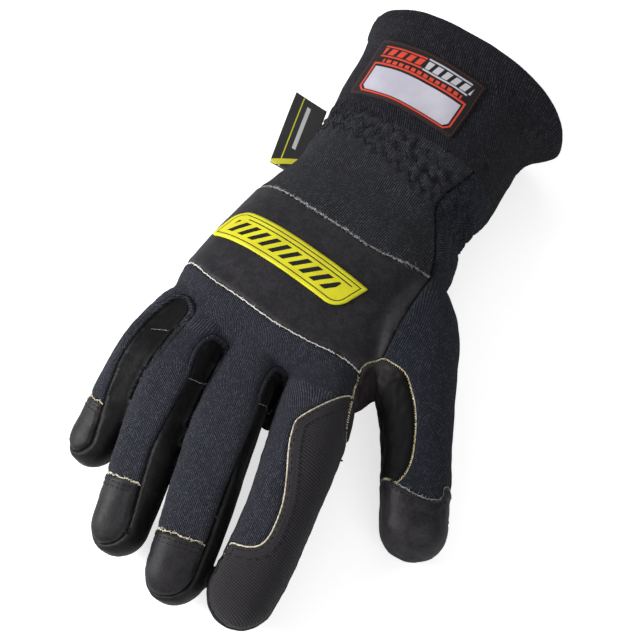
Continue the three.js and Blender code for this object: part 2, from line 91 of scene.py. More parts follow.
# how far round each finger its back cloth reaches, in degrees from the top towards the thumb
littleCloth = {
    "along": (0.2, 0.35, 0.52, 0.62, 0.71, 0.9),
    "from": (-75.0, -75.0, -75.0, -75.0, -75.0, -75.0),
    "to": (-6.0, -17.0, -21.0, -11.0, -1.0, 18.0),
}
ringCloth = {
    "along": (0.2, 0.28, 0.4, 0.52, 0.64, 0.9),
    "from": (-75.0, -75.0, -75.0, -75.0, -75.0, -75.0),
    "to": (42.0, 29.0, 34.0, 28.0, 22.0, 30.0),
}
middleCloth = {
    "along": (0.18, 0.25, 0.4, 0.6, 0.9),
    "from": (-75.0, -75.0, -75.0, -75.0, -75.0),
    "to": (57.0, 49.0, 51.0, 45.0, 43.0),
}
indexCloth = {"along": (0.0, 1.0), "from": (-78.0, -78.0), "to": (22.0, 22.0)}
indexTwill = {"along": (0.0, 1.0), "from": (-58.0, -58.0), "to": (98.0, 98.0)}
thumbCloth = {"along": (0.0, 1.0), "from": (-37.0, -37.0), "to": (127.0, 127.0)}

little = {"x": -50.0, "y": -8.8, "length": 87.4, "width": 20.5, "heading": -5.5, "curve": -0.005,
          "cap": 0.71, "cloth": littleCloth, "profile": fingerProfile}
ring = {"x": -40.0, "y": -11.2, "length": 112.7, "width": 23.0, "heading": 6.0, "curve": -0.01,
        "cap": 0.74, "cloth": ringCloth, "profile": fingerProfile}
middle = {"x": -16.0, "y": -14.85, "length": 116.7, "width": 24.5, "heading": 8.2, "curve": 0.002,
          "cap": 0.78, "cloth": middleCloth, "profile": fingerProfile}
index = {"x": 12.0, "y": -14.85, "length": 113.3, "width": 25.4, "heading": 6.4, "curve": 0.05,
         "cap": 0.78, "cloth": indexCloth, "profile": indexProfile}
thumb = {"x": 20.0, "y": 39.6, "length": 126.0, "width": 26.6, "heading": 26.8, "curve": 0.024,
         "cap": 0.8, "cloth": thumbCloth, "profile": thumbProfile}
fingers = [little, ring, middle, index]
fingerShape = {"square": 2.5, "flatness": 0.93, "tipRound": 0.5, "tipFrom": 0.8, "tipRows": 0.2, "tipTurn": 86.0,
               "ownSkin": 1.08, "ownSide": 1.25}


def smoothStep(value, low, high):
    share = np.clip((value - low) / (high - low), 0.0, 1.0)
    return share * share * (3.0 - 2.0 * share)


def column(table, name, along):
    # the value of one column, on a smooth curve through its rows
    place, value = np.array(table["along"]), np.array(table[name])
    wide, tall = np.pad(place, 1, "edge"), np.pad(value, 1, "edge")
    slope = (tall[2:] - tall[:-2]) / (wide[2:] - wide[:-2])
    along = np.clip(along, place[0], place[-1])
    i = np.clip(np.searchsorted(place, along, "right") - 1, 0, len(place) - 2)
    span = place[i + 1] - place[i]
    t = (along - place[i]) / span
    return ((2 * t**3 - 3 * t**2 + 1) * value[i] + (t**3 - 2 * t**2 + t) * span * slope[i]
            + (3 * t**2 - 2 * t**3) * value[i + 1] + (t**3 - t**2) * span * slope[i + 1])


def handAt(y):
    # centre, half width, height and turn of the hand's section at y
    along = (y - hand["frontY"]) / hand["palmLength"]
    up = (y - elasticY) / hand["cuffLength"]
    onCuff = y > elasticY
    flare = column(cuffSections, "flare", up)
    rise = column(cuffSections, "rise", up)
    beyond = np.maximum(y - rimY, 0.0)
    x = hand["palmWidth"] * np.where(onCuff, column(cuffSections, "centre", up), column(palmSections, "centre", along))
    wide = hand["wristWidth"] + (hand["cuffWidth"] - hand["wristWidth"]) * flare + hand["spareFlare"] * beyond
    half = np.where(onCuff, wide, hand["palmWidth"] * column(palmSections, "width", along)) / 2
    tall = hand["wristHeight"] + (hand["cuffHeight"] - hand["wristHeight"]) * rise + hand["spareRise"] * beyond
    top = np.where(onCuff, tall, hand["palmHeight"] * column(palmSections, "height", along))
    turned = hand["palmYaw"] * smoothStep(along, hand["yawFrom"], 1.0)
    turned = turned + (1 - hand["palmYaw"]) * smoothStep(up, 0.0, 1.0)
    return x, half, top, rimYaw * turned


# folds pressed into the top of the hand, each a line in plan with its reach and depth
folds = [
    {"start": (33.0, -12.1), "end": (34.0, 36.3), "reach": 4.95, "depth": 2.25},
    {"start": (27.0, 48.4), "end": (42.0, 75.0), "reach": 7.2, "depth": 4.05},
    {"start": (-10.0, 60.5), "end": (18.0, 50.8), "reach": 9.0, "depth": 1.8},
    {"start": (-50.0, 50.8), "end": (-22.0, 60.5), "reach": 7.2, "depth": 2.25},
]


def pressedFolds(x, y):
    depth = np.zeros(len(x))
    for fold in folds:
        start, run = np.array(fold["start"]), np.array(fold["end"]) - np.array(fold["start"])
        share = np.clip(((x - start[0]) * run[0] + (y - start[1]) * run[1]) / np.sum(run**2), 0, 1)
        away = np.hypot(x - start[0] - share * run[0], y - start[1] - share * run[1]) / fold["reach"]
        depth += fold["depth"] * np.exp(-away**2)
    return depth


def handPoints(around, along):
    y = hand["frontY"] - hand["front"] + along * (rimY + hand["spare"] - hand["frontY"] + hand["front"])
    x, half, top, yaw = handAt(y)
    roundness = smoothStep(y, hand["frontY"] + hand["palmLength"] * hand["cuffBaseFrom"], rimY)
    base = hand["palmBaseSquare"] + (hand["cuffBaseSquare"] - hand["palmBaseSquare"]) * roundness
    widest = hand["palmWidest"] + (hand["cuffWidest"] - hand["palmWidest"]) * roundness
    c, s = np.cos(around * 2 * np.pi), np.sin(around * 2 * np.pi)
    power = 2 / np.where(s > 0, hand["topSquare"], base)
    out = np.sign(c) * np.abs(c) ** power * half
    reach = np.where(s > 0, (1 - widest) * top, widest * top + hand["sink"])
    z = widest * top + np.sign(s) * np.abs(s) ** power * reach
    x, y = x + np.cos(yaw) * out, y - np.sin(yaw) * out
    z -= pressedFolds(x, y) * np.maximum(s, 0)
    return np.stack([x, y, np.maximum(z, 0.0)], axis=1)


def fingerPlace(finger, share):
    heading = math.radians(finger["heading"])
    ahead = np.array([math.sin(heading), -math.cos(heading), 0.0])
    aside = np.array([math.cos(heading), math.sin(heading), 0.0])
    bow = finger["curve"] * finger["length"] * np.sin(np.pi * np.clip(share, 0, 1))
    root = np.array([finger["x"], finger["y"], 0.0])
    place = root + np.outer(share * finger["length"], ahead) + np.outer(bow, aside)
    place[:, 2] = hand["palmHeight"] * column(finger["profile"], "height", share)
    return place


def fingerAt(finger, share):
    # centre, side towards the thumb, up and half size of a finger at shares of its length
    tangent = fingerPlace(finger, share + 0.01) - fingerPlace(finger, share - 0.01)
    tangent /= np.linalg.norm(tangent, axis=1, keepdims=True)
    side = np.cross(np.array([0.0, 0.0, 1.0]), tangent)
    side /= np.linalg.norm(side, axis=1, keepdims=True)
    up = np.cross(tangent, side)
    half = finger["width"] / 2 * column(finger["profile"], "girth", share)
    return fingerPlace(finger, share), side, up, half


def fingerPoints(finger, around, along):
    roundFrom = 1 - fingerShape["tipRound"] * finger["width"] / finger["length"]
    flatUpTo = fingerShape["tipFrom"]
    turn = np.clip((along - flatUpTo) / fingerShape["tipRows"], 0, 1) * math.radians(fingerShape["tipTurn"])
    share = np.where(along < flatUpTo, along / flatUpTo * roundFrom, roundFrom + (1 - roundFrom) * np.sin(turn))
    centre, side, up, half = fingerAt(finger, share)
    half = half * np.cos(turn)
    c, s = np.cos(around * 2 * np.pi), np.sin(around * 2 * np.pi)
    power = 2 / fingerShape["square"]
    across = (np.sign(c) * np.abs(c) ** power * half)[:, None]
    raised = (np.sign(s) * np.abs(s) ** power * half * fingerShape["flatness"])[:, None]
    points = centre + side * across + up * raised
    points[:, 2] = np.maximum(points[:, 2], 0.0)
    return points


def wrappedGrid(around, along, place):
    # a grid wrapped into a closed form by a function of its two shares
    bm = bmesh.new()
    bmesh.ops.create_grid(bm, x_segments=around, y_segments=along, size=0.5)
    shares = np.array([v.co[:2] for v in bm.verts]) + 0.5
    for v, co in zip(bm.verts, place(shares[:, 0], shares[:, 1])):
        v.co = co
    bmesh.ops.remove_doubles(bm, verts=bm.verts, dist=0.001)
    bmesh.ops.holes_fill(bm, edges=bm.edges)
    bmesh.ops.recalc_face_normals(bm, faces=bm.faces)
    return bm


def linked(name, mesh):
    piece = bpy.data.objects.new(name, mesh)
    bpy.context.collection.objects.link(piece)
    return piece


def baked(piece):
    # the mesh with its modifiers worked in
    depsgraph = bpy.context.evaluated_depsgraph_get()
    mesh = bpy.data.meshes.new_from_object(piece.evaluated_get(depsgraph))
    bpy.data.objects.remove(piece)
    return mesh


def meshFrom(bm, name):
    mesh = bpy.data.meshes.new(name)
    bm.to_mesh(mesh)
    bm.free()
    return mesh


def softened(bm, verts, factor, rounds):
    for _ in range(rounds):
        bmesh.ops.smooth_vert(bm, verts=verts, factor=factor, use_axis_x=True, use_axis_y=True, use_axis_z=True)


# one skin over hand, fingers and thumb
skinSettings = {"voxel": 1.1, "smoothing": 5, "handAround": 160, "handAlong": 150, "fingerAround": 48,
                "fingerAlong": 80, "webAround": 24, "webAlong": 16}
# leather that closes the crotch between two fingers
fingerWebs = [{"place": (0.5, -43.0, 16.5), "size": (5.5, 8.0, 8.0)}]
# places where a finger's root leaves the hand, which are smoothed further
easedPlaces = [
    {"place": (-61.0, -12.0, 20.0), "reach": 11.0, "rounds": 40},
    {"place": (-60.0, -20.0, 24.0), "reach": 9.0, "rounds": 30},
    {"place": (39.0, 43.0, 14.0), "reach": 12.0, "rounds": 40},
]


def webPoints(web, around, along):
    turn, rise = around * 2 * np.pi, (along - 0.5) * np.pi
    ball = np.stack([np.cos(turn) * np.cos(rise), np.sin(turn) * np.cos(rise), np.sin(rise)], axis=1)
    return ball * np.array(web["size"]) + np.array(web["place"])


def makeSkin():
    forms = [wrappedGrid(skinSettings["handAround"], skinSettings["handAlong"], handPoints)]
    forms += [wrappedGrid(skinSettings["fingerAround"], skinSettings["fingerAlong"],
                          lambda a, b, finger=finger: fingerPoints(finger, a, b)) for finger in fingers + [thumb]]
    forms += [wrappedGrid(skinSettings["webAround"], skinSettings["webAlong"],
                          lambda a, b, web=web: webPoints(web, a, b)) for web in fingerWebs]
    whole = bmesh.new()
    for form in forms:
        part = meshFrom(form, "part")
        whole.from_mesh(part)
        bpy.data.meshes.remove(part)
    piece = linked("skin", meshFrom(whole, "skin"))
    remesh = piece.modifiers.new("one skin", "REMESH")
    remesh.mode = "VOXEL"
    remesh.voxel_size = skinSettings["voxel"]
    soften = piece.modifiers.new("soften", "SMOOTH")
    soften.factor = 0.5
    soften.iterations = skinSettings["smoothing"]
    bm = bmesh.new()
    bm.from_mesh(baked(piece))
    rimX = handAt(np.array([rimY]))[0][0]
    bmesh.ops.bisect_plane(bm, geom=bm.verts[:] + bm.edges[:] + bm.faces[:], dist=0.05, plane_co=(rimX, rimY, 0),
                           plane_no=(math.sin(rimYaw), math.cos(rimYaw), 0), clear_outer=True)
    for eased in easedPlaces:
        near = [v for v in bm.verts if (v.co - Vector(eased["place"])).length < eased["reach"]]
        softened(bm, near, 0.5, eased["rounds"])
    return bm


def inPlan(rows):
    return np.array([(x * hand["palmWidth"], hand["frontY"] + y * hand["palmLength"]) for x, y in rows])


def smoothLine(points, steps=8):
    # an open curve through the points
    ends = np.vstack([2 * points[0] - points[1], points, 2 * points[-1] - points[-2]])
    line = []
    for a, b, c, d in zip(ends, ends[1:], ends[2:], ends[3:]):
        square, cube = 2 * a - 5 * b + 4 * c - d, 3 * b - a - 3 * c + d
        line += [0.5 * (2 * b + (c - a) * t + square * t**2 + cube * t**3) for t in np.arange(steps) / steps]
    line.append(points[-1])
    return np.array(line)


# seams in plan, as shares of the palm's width and length from the crotches
bandFront = smoothLine(inPlan([(-0.75, 0.31), (-0.6, 0.25), (-0.45, 0.19), (-0.29, 0.157), (-0.11, 0.126),
                               (0.06, 0.12), (0.18, 0.128), (0.36, 0.122)]))
bandRear = smoothLine(inPlan([(0.4, 0.57), (0.12, 0.52), (-0.05, 0.537), (-0.28, 0.578), (-0.47, 0.628),
                              (-0.75, 0.7)]))
gusset = smoothLine(inPlan([(0.27, 0.122), (0.275, 0.165), (0.32, 0.2), (0.33, 0.35), (0.335, 0.545), (0.31, 0.64),
                            (0.265, 0.727), (0.23, 0.79), (0.238, 0.85), (0.27, 0.92), (0.31, 1.0), (0.36, 1.1)]))
webEdge = smoothLine(inPlan([(0.36, -0.125), (0.342, -0.095), (0.32, -0.041), (0.3, 0.02), (0.283, 0.065),
                             (0.27, 0.124), (0.28, 0.165), (0.32, 0.198), (0.37, 0.192), (0.44, 0.174), (0.49, 0.132),
                             (0.53, 0.09), (0.57, 0.025), (0.605, -0.06), (0.61, -0.116), (0.59, -0.157),
                             (0.55, -0.16)]))
thumbCapEdge = smoothLine(inPlan([(0.46, -0.13), (0.59, -0.157), (0.68, -0.165), (0.74, -0.16), (0.775, -0.13),
                                  (0.79, -0.07), (1.1, 0.0)]))
indexEdge = smoothLine(inPlan([(0.08, -0.565), (0.21, -0.57), (0.27, -0.53), (0.27, -0.43), (0.24, -0.347),
                               (0.19, -0.25), (0.17, -0.19), (0.17, -0.15), (0.24, -0.05), (0.29, 0.02)]))
elasticCentre, _, _, elasticYaw = [float(v[0]) for v in handAt(np.array([elasticY]))]


def elasticLine(x):
    return elasticY - (x - elasticCentre) * math.tan(elasticYaw)


farOut = 120.0
rear = np.array([(-farOut, elasticLine(-farOut)), (farOut, elasticLine(farOut))])
outlines = {
    "band": np.vstack([bandFront, bandRear]),
    "wrist": np.vstack([bandRear, rear]),
    "fingerBack": np.vstack([bandFront, inPlan([(0.34, -0.14), (0.08, -0.14), (0.0, 0.0), (-0.29, 0.0), (-0.42, 0.05),
                                                (-0.5, 0.09), (-0.8, 0.09)])]),
    "thumbSide": np.vstack([gusset, rear[1:], [(farOut, gusset[0][1])]]),
    "web": np.vstack([webEdge, inPlan([(0.48, -0.3), (0.46, -0.3), (0.4, -0.14), (0.385, -0.105)])]),
    "thumbCap": np.vstack([thumbCapEdge, inPlan([(1.1, -0.7), (0.46, -0.7)])]),
    "index": np.vstack([indexEdge, inPlan([(0.5, 0.02), (0.55, -0.5), (0.5, -0.95), (0.0, -0.95)])]),
}
partingLine = np.array([(-0.6, 0.66), (0.1, 0.6), (0.3, 0.42), (1.4, 0.4)])


def inOutline(points, outline):
    # how far inside an outline in plan the points are, less than nothing outside it
    ends = np.roll(outline, -1, axis=0)
    nearest = np.full(len(points), 1e9)
    inside = np.zeros(len(points), bool)
    px, py = points[:, 0], points[:, 1]
    for (ax, ay), (bx, by) in zip(outline, ends):
        dx, dy = bx - ax, by - ay
        share = np.clip(((px - ax) * dx + (py - ay) * dy) / (dx * dx + dy * dy + 1e-12), 0, 1)
        nearest = np.minimum(nearest, np.hypot(px - ax - share * dx, py - ay - share * dy))
        crosses = (ay > py) != (by > py)
        inside ^= crosses & (px < ax + (py - ay) * dx / (dy if abs(dy) > 1e-9 else 1e-9))
    return np.where(inside, nearest, -nearest)


def onFinger(finger, points):
    # share of the length, distance across and out of the finger's middle, and half size there
    heading = math.radians(finger["heading"])
    ahead = np.array([math.sin(heading), -math.cos(heading)])
    share = (points[:, :2] - np.array([finger["x"], finger["y"]])) @ ahead / finger["length"]
    for _ in range(3):
        step = fingerPlace(finger, share + 0.01) - fingerPlace(finger, share - 0.01)
        middle = points - fingerPlace(finger, share)
        share = share + 0.02 * np.sum(middle * step, axis=1) / np.sum(step * step, axis=1)
    centre, side, up, half = fingerAt(finger, share)
    away = points - centre
    return share, np.sum(away * side, axis=1), np.sum(away * up, axis=1), half


def onBack(finger, points, start, stop, cloth=None):
    # how far inside the part of a finger that its back cloth covers
    share, across, raised, half = onFinger(finger, points)
    cloth = cloth or finger["cloth"]
    first, last = np.radians(column(cloth, "from", share)), np.radians(column(cloth, "to", share))
    roll, cover = (first + last) / 2, np.cos((last - first) / 2)
    outward = raised * np.cos(roll) + across * np.sin(roll)
    sideways = across * np.cos(roll) - raised * np.sin(roll)
    ends = np.minimum(share - start, stop - share) * finger["length"]
    power, flat = fingerShape["square"], fingerShape["flatness"]
    fromMiddle = (np.abs(across) ** power + np.abs(raised / flat) ** power) ** (1 / power)
    ownSkin = half * fingerShape["ownSkin"] - fromMiddle
    ownSide = half * fingerShape["ownSide"] - np.abs(sideways)
    return np.minimum.reduce([outward - half * cover, ownSide, ends, ownSkin])


def merged(fields, rounding):
    # the union of several regions with its inner corners rounded
    fields = np.array(fields)
    top = fields.max(axis=0)
    return top + rounding * np.log(np.sum(np.exp(np.maximum((fields - top) / rounding, -40)), axis=0))


# where panels start and stop, as shares of a finger's length or of the palm's height
panelEnds = {"pastTip": 1.2, "back": 0.05, "backUnderCap": 0.03, "index": 0.1, "thumb": 0.35, "thumbUnderCap": 0.1,
             "thumbLow": 0.2, "backCorners": 1.3}


def onTop(points, outline):
    # inside an outline and above the line where the back meets the palm
    parting = np.interp(points[:, 1], hand["frontY"] + partingLine[:, 0] * hand["palmLength"],
                        partingLine[:, 1] * hand["palmHeight"])
    return np.minimum(inOutline(points, outlines[outline]), points[:, 2] - parting)


def besideThumb(points, outline):
    low = hand["palmHeight"] * panelEnds["thumbLow"]
    return np.minimum(inOutline(points, outlines[outline]), points[:, 2] - low)


def onCap(finger, points):
    return onBack(finger, points, finger["cap"], panelEnds["pastTip"])


def onIndex(points):
    twill = onBack(index, points, panelEnds["index"], panelEnds["pastTip"], indexTwill)
    return np.minimum(inOutline(points, outlines["index"]), twill)


def onThumbSide(points):
    cloth = onBack(thumb, points, panelEnds["thumb"], thumb["cap"] + panelEnds["thumbUnderCap"])
    return np.maximum(besideThumb(points, "thumbSide"), cloth)


def onFingerBacks(points):
    start, under = panelEnds["back"], panelEnds["backUnderCap"]
    backs = [onBack(finger, points, start, finger["cap"] + under) for finger in fingers]
    return merged([onTop(points, "fingerBack")] + backs, panelEnds["backCorners"])


# each region is cut from what the ones before it leave
regions = [
    ("cuff", lambda p: p[:, 1] - elasticLine(p[:, 0])),
    ("capLittle", lambda p: onCap(little, p)),
    ("capRing", lambda p: onCap(ring, p)),
    ("capMiddle", lambda p: onCap(middle, p)),
    ("thumbCap", lambda p: besideThumb(p, "thumbCap")),
    ("webPatch", lambda p: besideThumb(p, "web")),
    ("indexPanel", onIndex),
    ("thumbSide", onThumbSide),
    ("knuckleBand", lambda p: onTop(p, "band")),
    ("wristBack", lambda p: onTop(p, "wrist")),
    ("fingerBack", onFingerBacks),
]
palmLabel = len(regions)
labelNames = [name for name, _ in regions] + ["palm"]


def coordinates(bm):
    return np.array([v.co[:] for v in bm.verts])


def labelFaces(bm):
    # gives each face its piece, with islands that are too small handed to their neighbours
    centres = np.array([f.calc_center_median()[:] for f in bm.faces])
    labels = np.full(len(centres), palmLabel)
    free = np.ones(len(centres), bool)
    for number, (_, inside) in enumerate(regions):
        taken = free & (inside(centres) > 0)
        labels[taken] = number
        free &= ~taken
    bm.faces.index_update()
    for _ in range(2):
        seen = np.zeros(len(labels), bool)
        islands = []
        for face in bm.faces:
            if seen[face.index]:
                continue
            seen[face.index] = True
            island, waiting = [], [face]
            while waiting:
                at = waiting.pop()
                island.append(at)
                for edge in at.edges:
                    for near in edge.link_faces:
                        if not seen[near.index] and labels[near.index] == labels[face.index]:
                            seen[near.index] = True
                            waiting.append(near)
            islands.append(island)
        largest = {}
        for island in islands:
            label = labels[island[0].index]
            largest[label] = max(largest.get(label, 0), len(island))
        for island in islands:
            label = labels[island[0].index]
            if len(island) == largest[label]:
                continue
            around = [labels[near.index] for face in island for edge in face.edges for near in edge.link_faces
                      if labels[near.index] != label]
            if around:
                winner = max(sorted(set(around)), key=around.count)
                for face in island:
                    labels[face.index] = winner
    return labels


snapping = {"rounds": 4, "probe": 0.05, "leastSlope": 0.15, "longestMove": 0.45, "besideFactor": 0.4,
            "besideRounds": 3}


def snapToSeams(bm, labels):
    # moves the vertices between two pieces onto the exact seam
    bm.normal_update()
    groups = {}
    for v in bm.verts:
        near = {int(labels[f.index]) for f in v.link_faces}
        if len(near) > 1:
            groups.setdefault(min(near), []).append(v)
    probe = snapping["probe"]
    for number, verts in groups.items():
        inside = regions[number][1]
        points = np.array([v.co[:] for v in verts])
        normals = np.array([v.normal[:] for v in verts])
        for _ in range(snapping["rounds"]):
            value = inside(points)
            slope = np.stack([(inside(points + step) - value) / probe for step in np.eye(3) * probe], axis=1)
            slope -= normals * np.sum(slope * normals, axis=1, keepdims=True)
            size = np.maximum(np.sum(slope * slope, axis=1), snapping["leastSlope"])
            move = -slope * (value / size)[:, None]
            length = np.linalg.norm(move, axis=1, keepdims=True)
            points = points + move * np.minimum(1.0, snapping["longestMove"] / np.maximum(length, 1e-9))
        points[:, 2] = np.maximum(points[:, 2], 0.0)
        for v, co in zip(verts, points):
            v.co = co
    seamVerts = {v for verts in groups.values() for v in verts}
    beside = {o for v in seamVerts for e in v.link_edges for o in e.verts} - seamVerts
    softened(bm, list(beside), snapping["besideFactor"], snapping["besideRounds"])
    bm.normal_update()


def seamChains(bm, labels, first, second):
    # the seam between two pieces as lists of vertices in order
    wanted = {labelNames.index(first), labelNames.index(second)}
    edges = [e for e in bm.edges if len(e.link_faces) == 2
             and {int(labels[f.index]) for f in e.link_faces} == wanted]
    near = {}
    for e in edges:
        for v in e.verts:
            near.setdefault(v, []).append(e)
    chains, used = [], set()
    starts = sorted([v for v, es in near.items() if len(es) == 1], key=lambda v: v.index)
    for start in starts + sorted(near, key=lambda v: v.index):
        chain, at = [start], start
        while True:
            ahead = [e for e in near[at] if e not in used]
            if not ahead:
                break
            used.add(ahead[0])
            at = ahead[0].other_vert(at)
            chain.append(at)
        if len(chain) > 5:
            chains.append([v.index for v in chain])
    return chains


# cloth relief in mm, over the smooth skin
relief = {
    "groove": 0.6, "grooveWidth": 0.9,
    "knitPuff": 0.42, "knitPuffAt": 2.2, "leatherPuff": 0.5, "leatherPuffAt": 1.5,
    "pucker": 0.42, "puckerReach": 3.0, "puckerSize": 3.3, "fadeIn": 6.0, "knitWaves": 0.5, "leatherWaves": 0.3,
}
# noises that wave the cloth, each with its share, size and shift
waves = {
    "knit": [(1.0, 15.0, 3.0), (0.5, 6.5, 9.0)],
    "leather": [(1.0, 17.0, 5.0), (0.4, 5.0, 2.0)],
    "gathers": [(1.0, 0.5, 1.0), (0.5, 0.27, 4.0)],
}
thumbTipFolds = {"reach": 7.0, "depth": 0.9, "stretch": (1.0, 0.6, 1.0), "size": 3.2, "shift": 8.0}
webFolds = {"seam": (0.5, 4.0), "centre": (40.0, -14.0), "spread": 60.0, "depth": 0.5, "centreDepth": 2.4,
            "stretch": (1.0, 0.45, 1.0), "size": 3.0, "shift": 7.0}
# elastic: rows of zigzag stitches and the gathers they draw in
elastic = {"rows": (-17.0, -10.5, -4.0), "zigzag": 1.7, "pitch": 6.6, "tilt": 0.2, "tiltFrom": 2.0, "tiltReach": 34.0,
           "gather": 1.7, "sunk": 0.2, "gatherReach": 9.5, "gatherPitch": 6.2, "gatherLength": 9.0, "dip": 0.8,
           "dipWidth": 0.9}
# folded hem, by the distance from the rim
hem = {"line": 14.5, "step": 0.3, "stepHalf": 0.8, "lineDip": 0.25, "lineWidth": 0.9, "zigzagAt": 10.0, "zigzag": 0.8,
       "dip": 0.4, "dipWidth": 0.8, "ripple": 0.45, "rippleAt": 10.5, "rippleReach": 5.0, "rippleAround": 4.0,
       "rippleAlong": 8.0, "rippleSize": 0.6, "rippleShift": 6.0, "edge": 0.8, "edgeWidth": 0.8}
# rolled and stitched lip of the slits between the fingers, and the leather sunk in them
slits = {"front": (-62.0, -44.0), "rear": (-8.0, -18.0), "clearOfBand": (3.6, 4.4), "over": 22.0,
         "left": -62.0, "right": 12.0, "lip": 0.5, "lipAt": 1.1, "lipWidth": 0.9, "line": 2.6, "dip": 0.75,
         "dipWidth": 0.55, "depth": 1.6, "depthWidth": 1.6, "sunkOver": (20.0, 28.0), "sunkFrom": (-85.0, -70.0)}
# creases, which press in only above a height, as lines in plan with the reach and depth of each
creasesOver = 14
creases = [
    {"line": [(33, 91), (29, 84), (26, 75), (22, 65)], "reach": 1.7, "depth": 1.7},
    {"line": [(36, 90), (32, 83), (30, 75), (28, 69)], "reach": 2.2, "depth": -0.7},
    {"line": [(25, 63), (27, 56), (27, 49), (29, 38)], "reach": 1.5, "depth": 1.3},
    {"line": [(28, 61), (30, 54), (31, 46), (33, 36)], "reach": 1.7, "depth": -0.9},
    {"line": [(34, 72), (34, 64), (35, 55), (38, 46)], "reach": 1.2, "depth": 0.9},
    {"line": [(37, 72), (37, 64), (38, 55)], "reach": 1.6, "depth": -0.5},
    {"line": [(22, 64), (12, 66), (3, 70)], "reach": 2.4, "depth": 0.7},
    {"line": [(40, 100), (34, 96), (28, 93)], "reach": 2.6, "depth": 0.7},
]
hiddenSeams = [{"cuff", "wristBack"}, {"cuff", "thumbSide"}]
leatherNames = {"palm", "knuckleBand", "capLittle", "capRing", "capMiddle", "thumbCap", "webPatch"}


def noiseAt(points, size, shift=0.0):
    return np.array([noise.noise(Vector(p) / size + Vector((shift, shift * 0.7, -shift))) for p in points])


def mixedNoise(points, parts):
    return sum(share * noiseAt(points, size, shift) for share, size, shift in parts)


def bell(value, middle, reach):
    # 1 at the middle, less and less beyond the reach
    return np.exp(-((value - middle) / reach) ** 2)


def fromRim(points):
    centre = float(handAt(np.array([rimY]))[0][0])
    return (centre - points[:, 0]) * math.sin(rimYaw) + (rimY - points[:, 1]) * math.cos(rimYaw)


def besideLine(points, line):
    # distance in plan to an open line
    line = np.array(line, dtype=float)
    beside = np.full(len(points), 1e9)
    for start, end in zip(line, line[1:]):
        run = end - start
        share = np.clip((points[:, :2] - start) @ run / (run @ run), 0, 1)
        beside = np.minimum(beside, np.hypot(*(points[:, :2] - start - np.outer(share, run)).T))
    return beside


def fromElastic(x, y):
    # distance up the wrist from the elastic's line, which dips towards the thumb
    reach = elastic["tiltReach"]
    return y - elasticLine(x) + elastic["tilt"] * np.clip(x - elastic["tiltFrom"], -reach, reach)


# the section on which distances round the hand are measured
middling = {"half": 47, "rise": 27, "level": 0.4, "power": 0.87, "backPower": 1.15, "under": 2}


def roundHand(points):
    # distance round the hand from the middle of its top, on a section of middling size
    x, half, top, yaw = handAt(points[:, 1])
    across = (points[:, 0] - x) / np.cos(yaw)
    level = middling["level"] * top
    raised = points[:, 2] - level
    tall = np.where(raised > 0, top - level, level + middling["under"])
    angle = np.arctan2(np.sign(across) * (np.abs(across) / half) ** middling["backPower"],
                       np.sign(raised) * (np.abs(raised) / tall) ** middling["backPower"])
    lap = np.linspace(0, 2 * np.pi, 361)
    side = np.sign(np.sin(lap)) * np.abs(np.sin(lap)) ** middling["power"] * middling["half"]
    rise = np.sign(np.cos(lap)) * np.abs(np.cos(lap)) ** middling["power"] * middling["rise"]
    arc = np.concatenate([[0], np.cumsum(np.hypot(np.diff(side), np.diff(rise)))])
    return np.sign(angle) * np.interp(np.abs(angle), lap, arc) * half / middling["half"]


clothLay = {"bulge": 1.06, "fingers": (-20.0, -56.0), "thumb": (0.0, 0.3), "thumbShift": 20}


def clothPlaces(points, labels):
    # coordinates in mm along and across each panel's cloth
    handU, handV = roundHand(points), points[:, 1]
    fingerU, fingerV = handU, handV
    best = np.full(len(points), 1e9)
    for finger in fingers:
        share, across, raised, half = onFinger(finger, points)
        heading = math.radians(finger["heading"])
        away = np.hypot(across, raised) / half
        arc = np.arctan2(across, raised / fingerShape["flatness"]) * half * clothLay["bulge"]
        base = finger["x"] * math.cos(heading) + finger["y"] * math.sin(heading)
        closer = away < best
        best = np.where(closer, away, best)
        fingerU = np.where(closer, base + arc, fingerU)
        fingerV = np.where(closer, -share * finger["length"] + finger["y"], fingerV)
    ahead = smoothStep(points[:, 1], *clothLay["fingers"])
    u, v = handU + (fingerU - handU) * ahead, handV + (fingerV - handV) * ahead
    share, across, raised, half = onFinger(thumb, points)
    thumbNames = [labelNames.index(n) for n in ("thumbSide", "thumbCap", "webPatch")]
    onThumb = np.isin(labels, thumbNames) * smoothStep(share, *clothLay["thumb"])
    thumbU = np.arctan2(across, raised) * half * clothLay["bulge"] + clothLay["thumbShift"]
    thumbV = -share * thumb["length"] + thumb["y"]
    return u + (thumbU - u) * onThumb, v + (thumbV - v) * onThumb


farFromSeams = 30.0


def seamDistances(bm, labels):
    hidden = [{labelNames.index(n) for n in pair} for pair in hiddenSeams]
    near = [{int(labels[f.index]) for f in v.link_faces} for v in bm.verts]
    real = {v.index for v, names in zip(bm.verts, near) if len(names) > 1 and names not in hidden}
    trees = []
    for number in range(len(labelNames)):
        own = [i for i in sorted(real) if number in near[i]]
        tree = kdtree.KDTree(max(len(own), 1))
        for i in own:
            tree.insert(bm.verts[i].co, i)
        tree.balance()
        trees.append(tree)
    distance = np.zeros(len(near))
    for v, names in zip(bm.verts, near):
        if v.index not in real:
            found = [trees[n].find(v.co)[2] for n in names]
            distance[v.index] = min([d for d in found if d is not None] + [farFromSeams])
    return distance


def zigzagAt(u):
    phase = (u / elastic["pitch"]) % 1.0
    return (np.abs(phase * 2 - 1) * 2 - 1) * elastic["zigzag"]


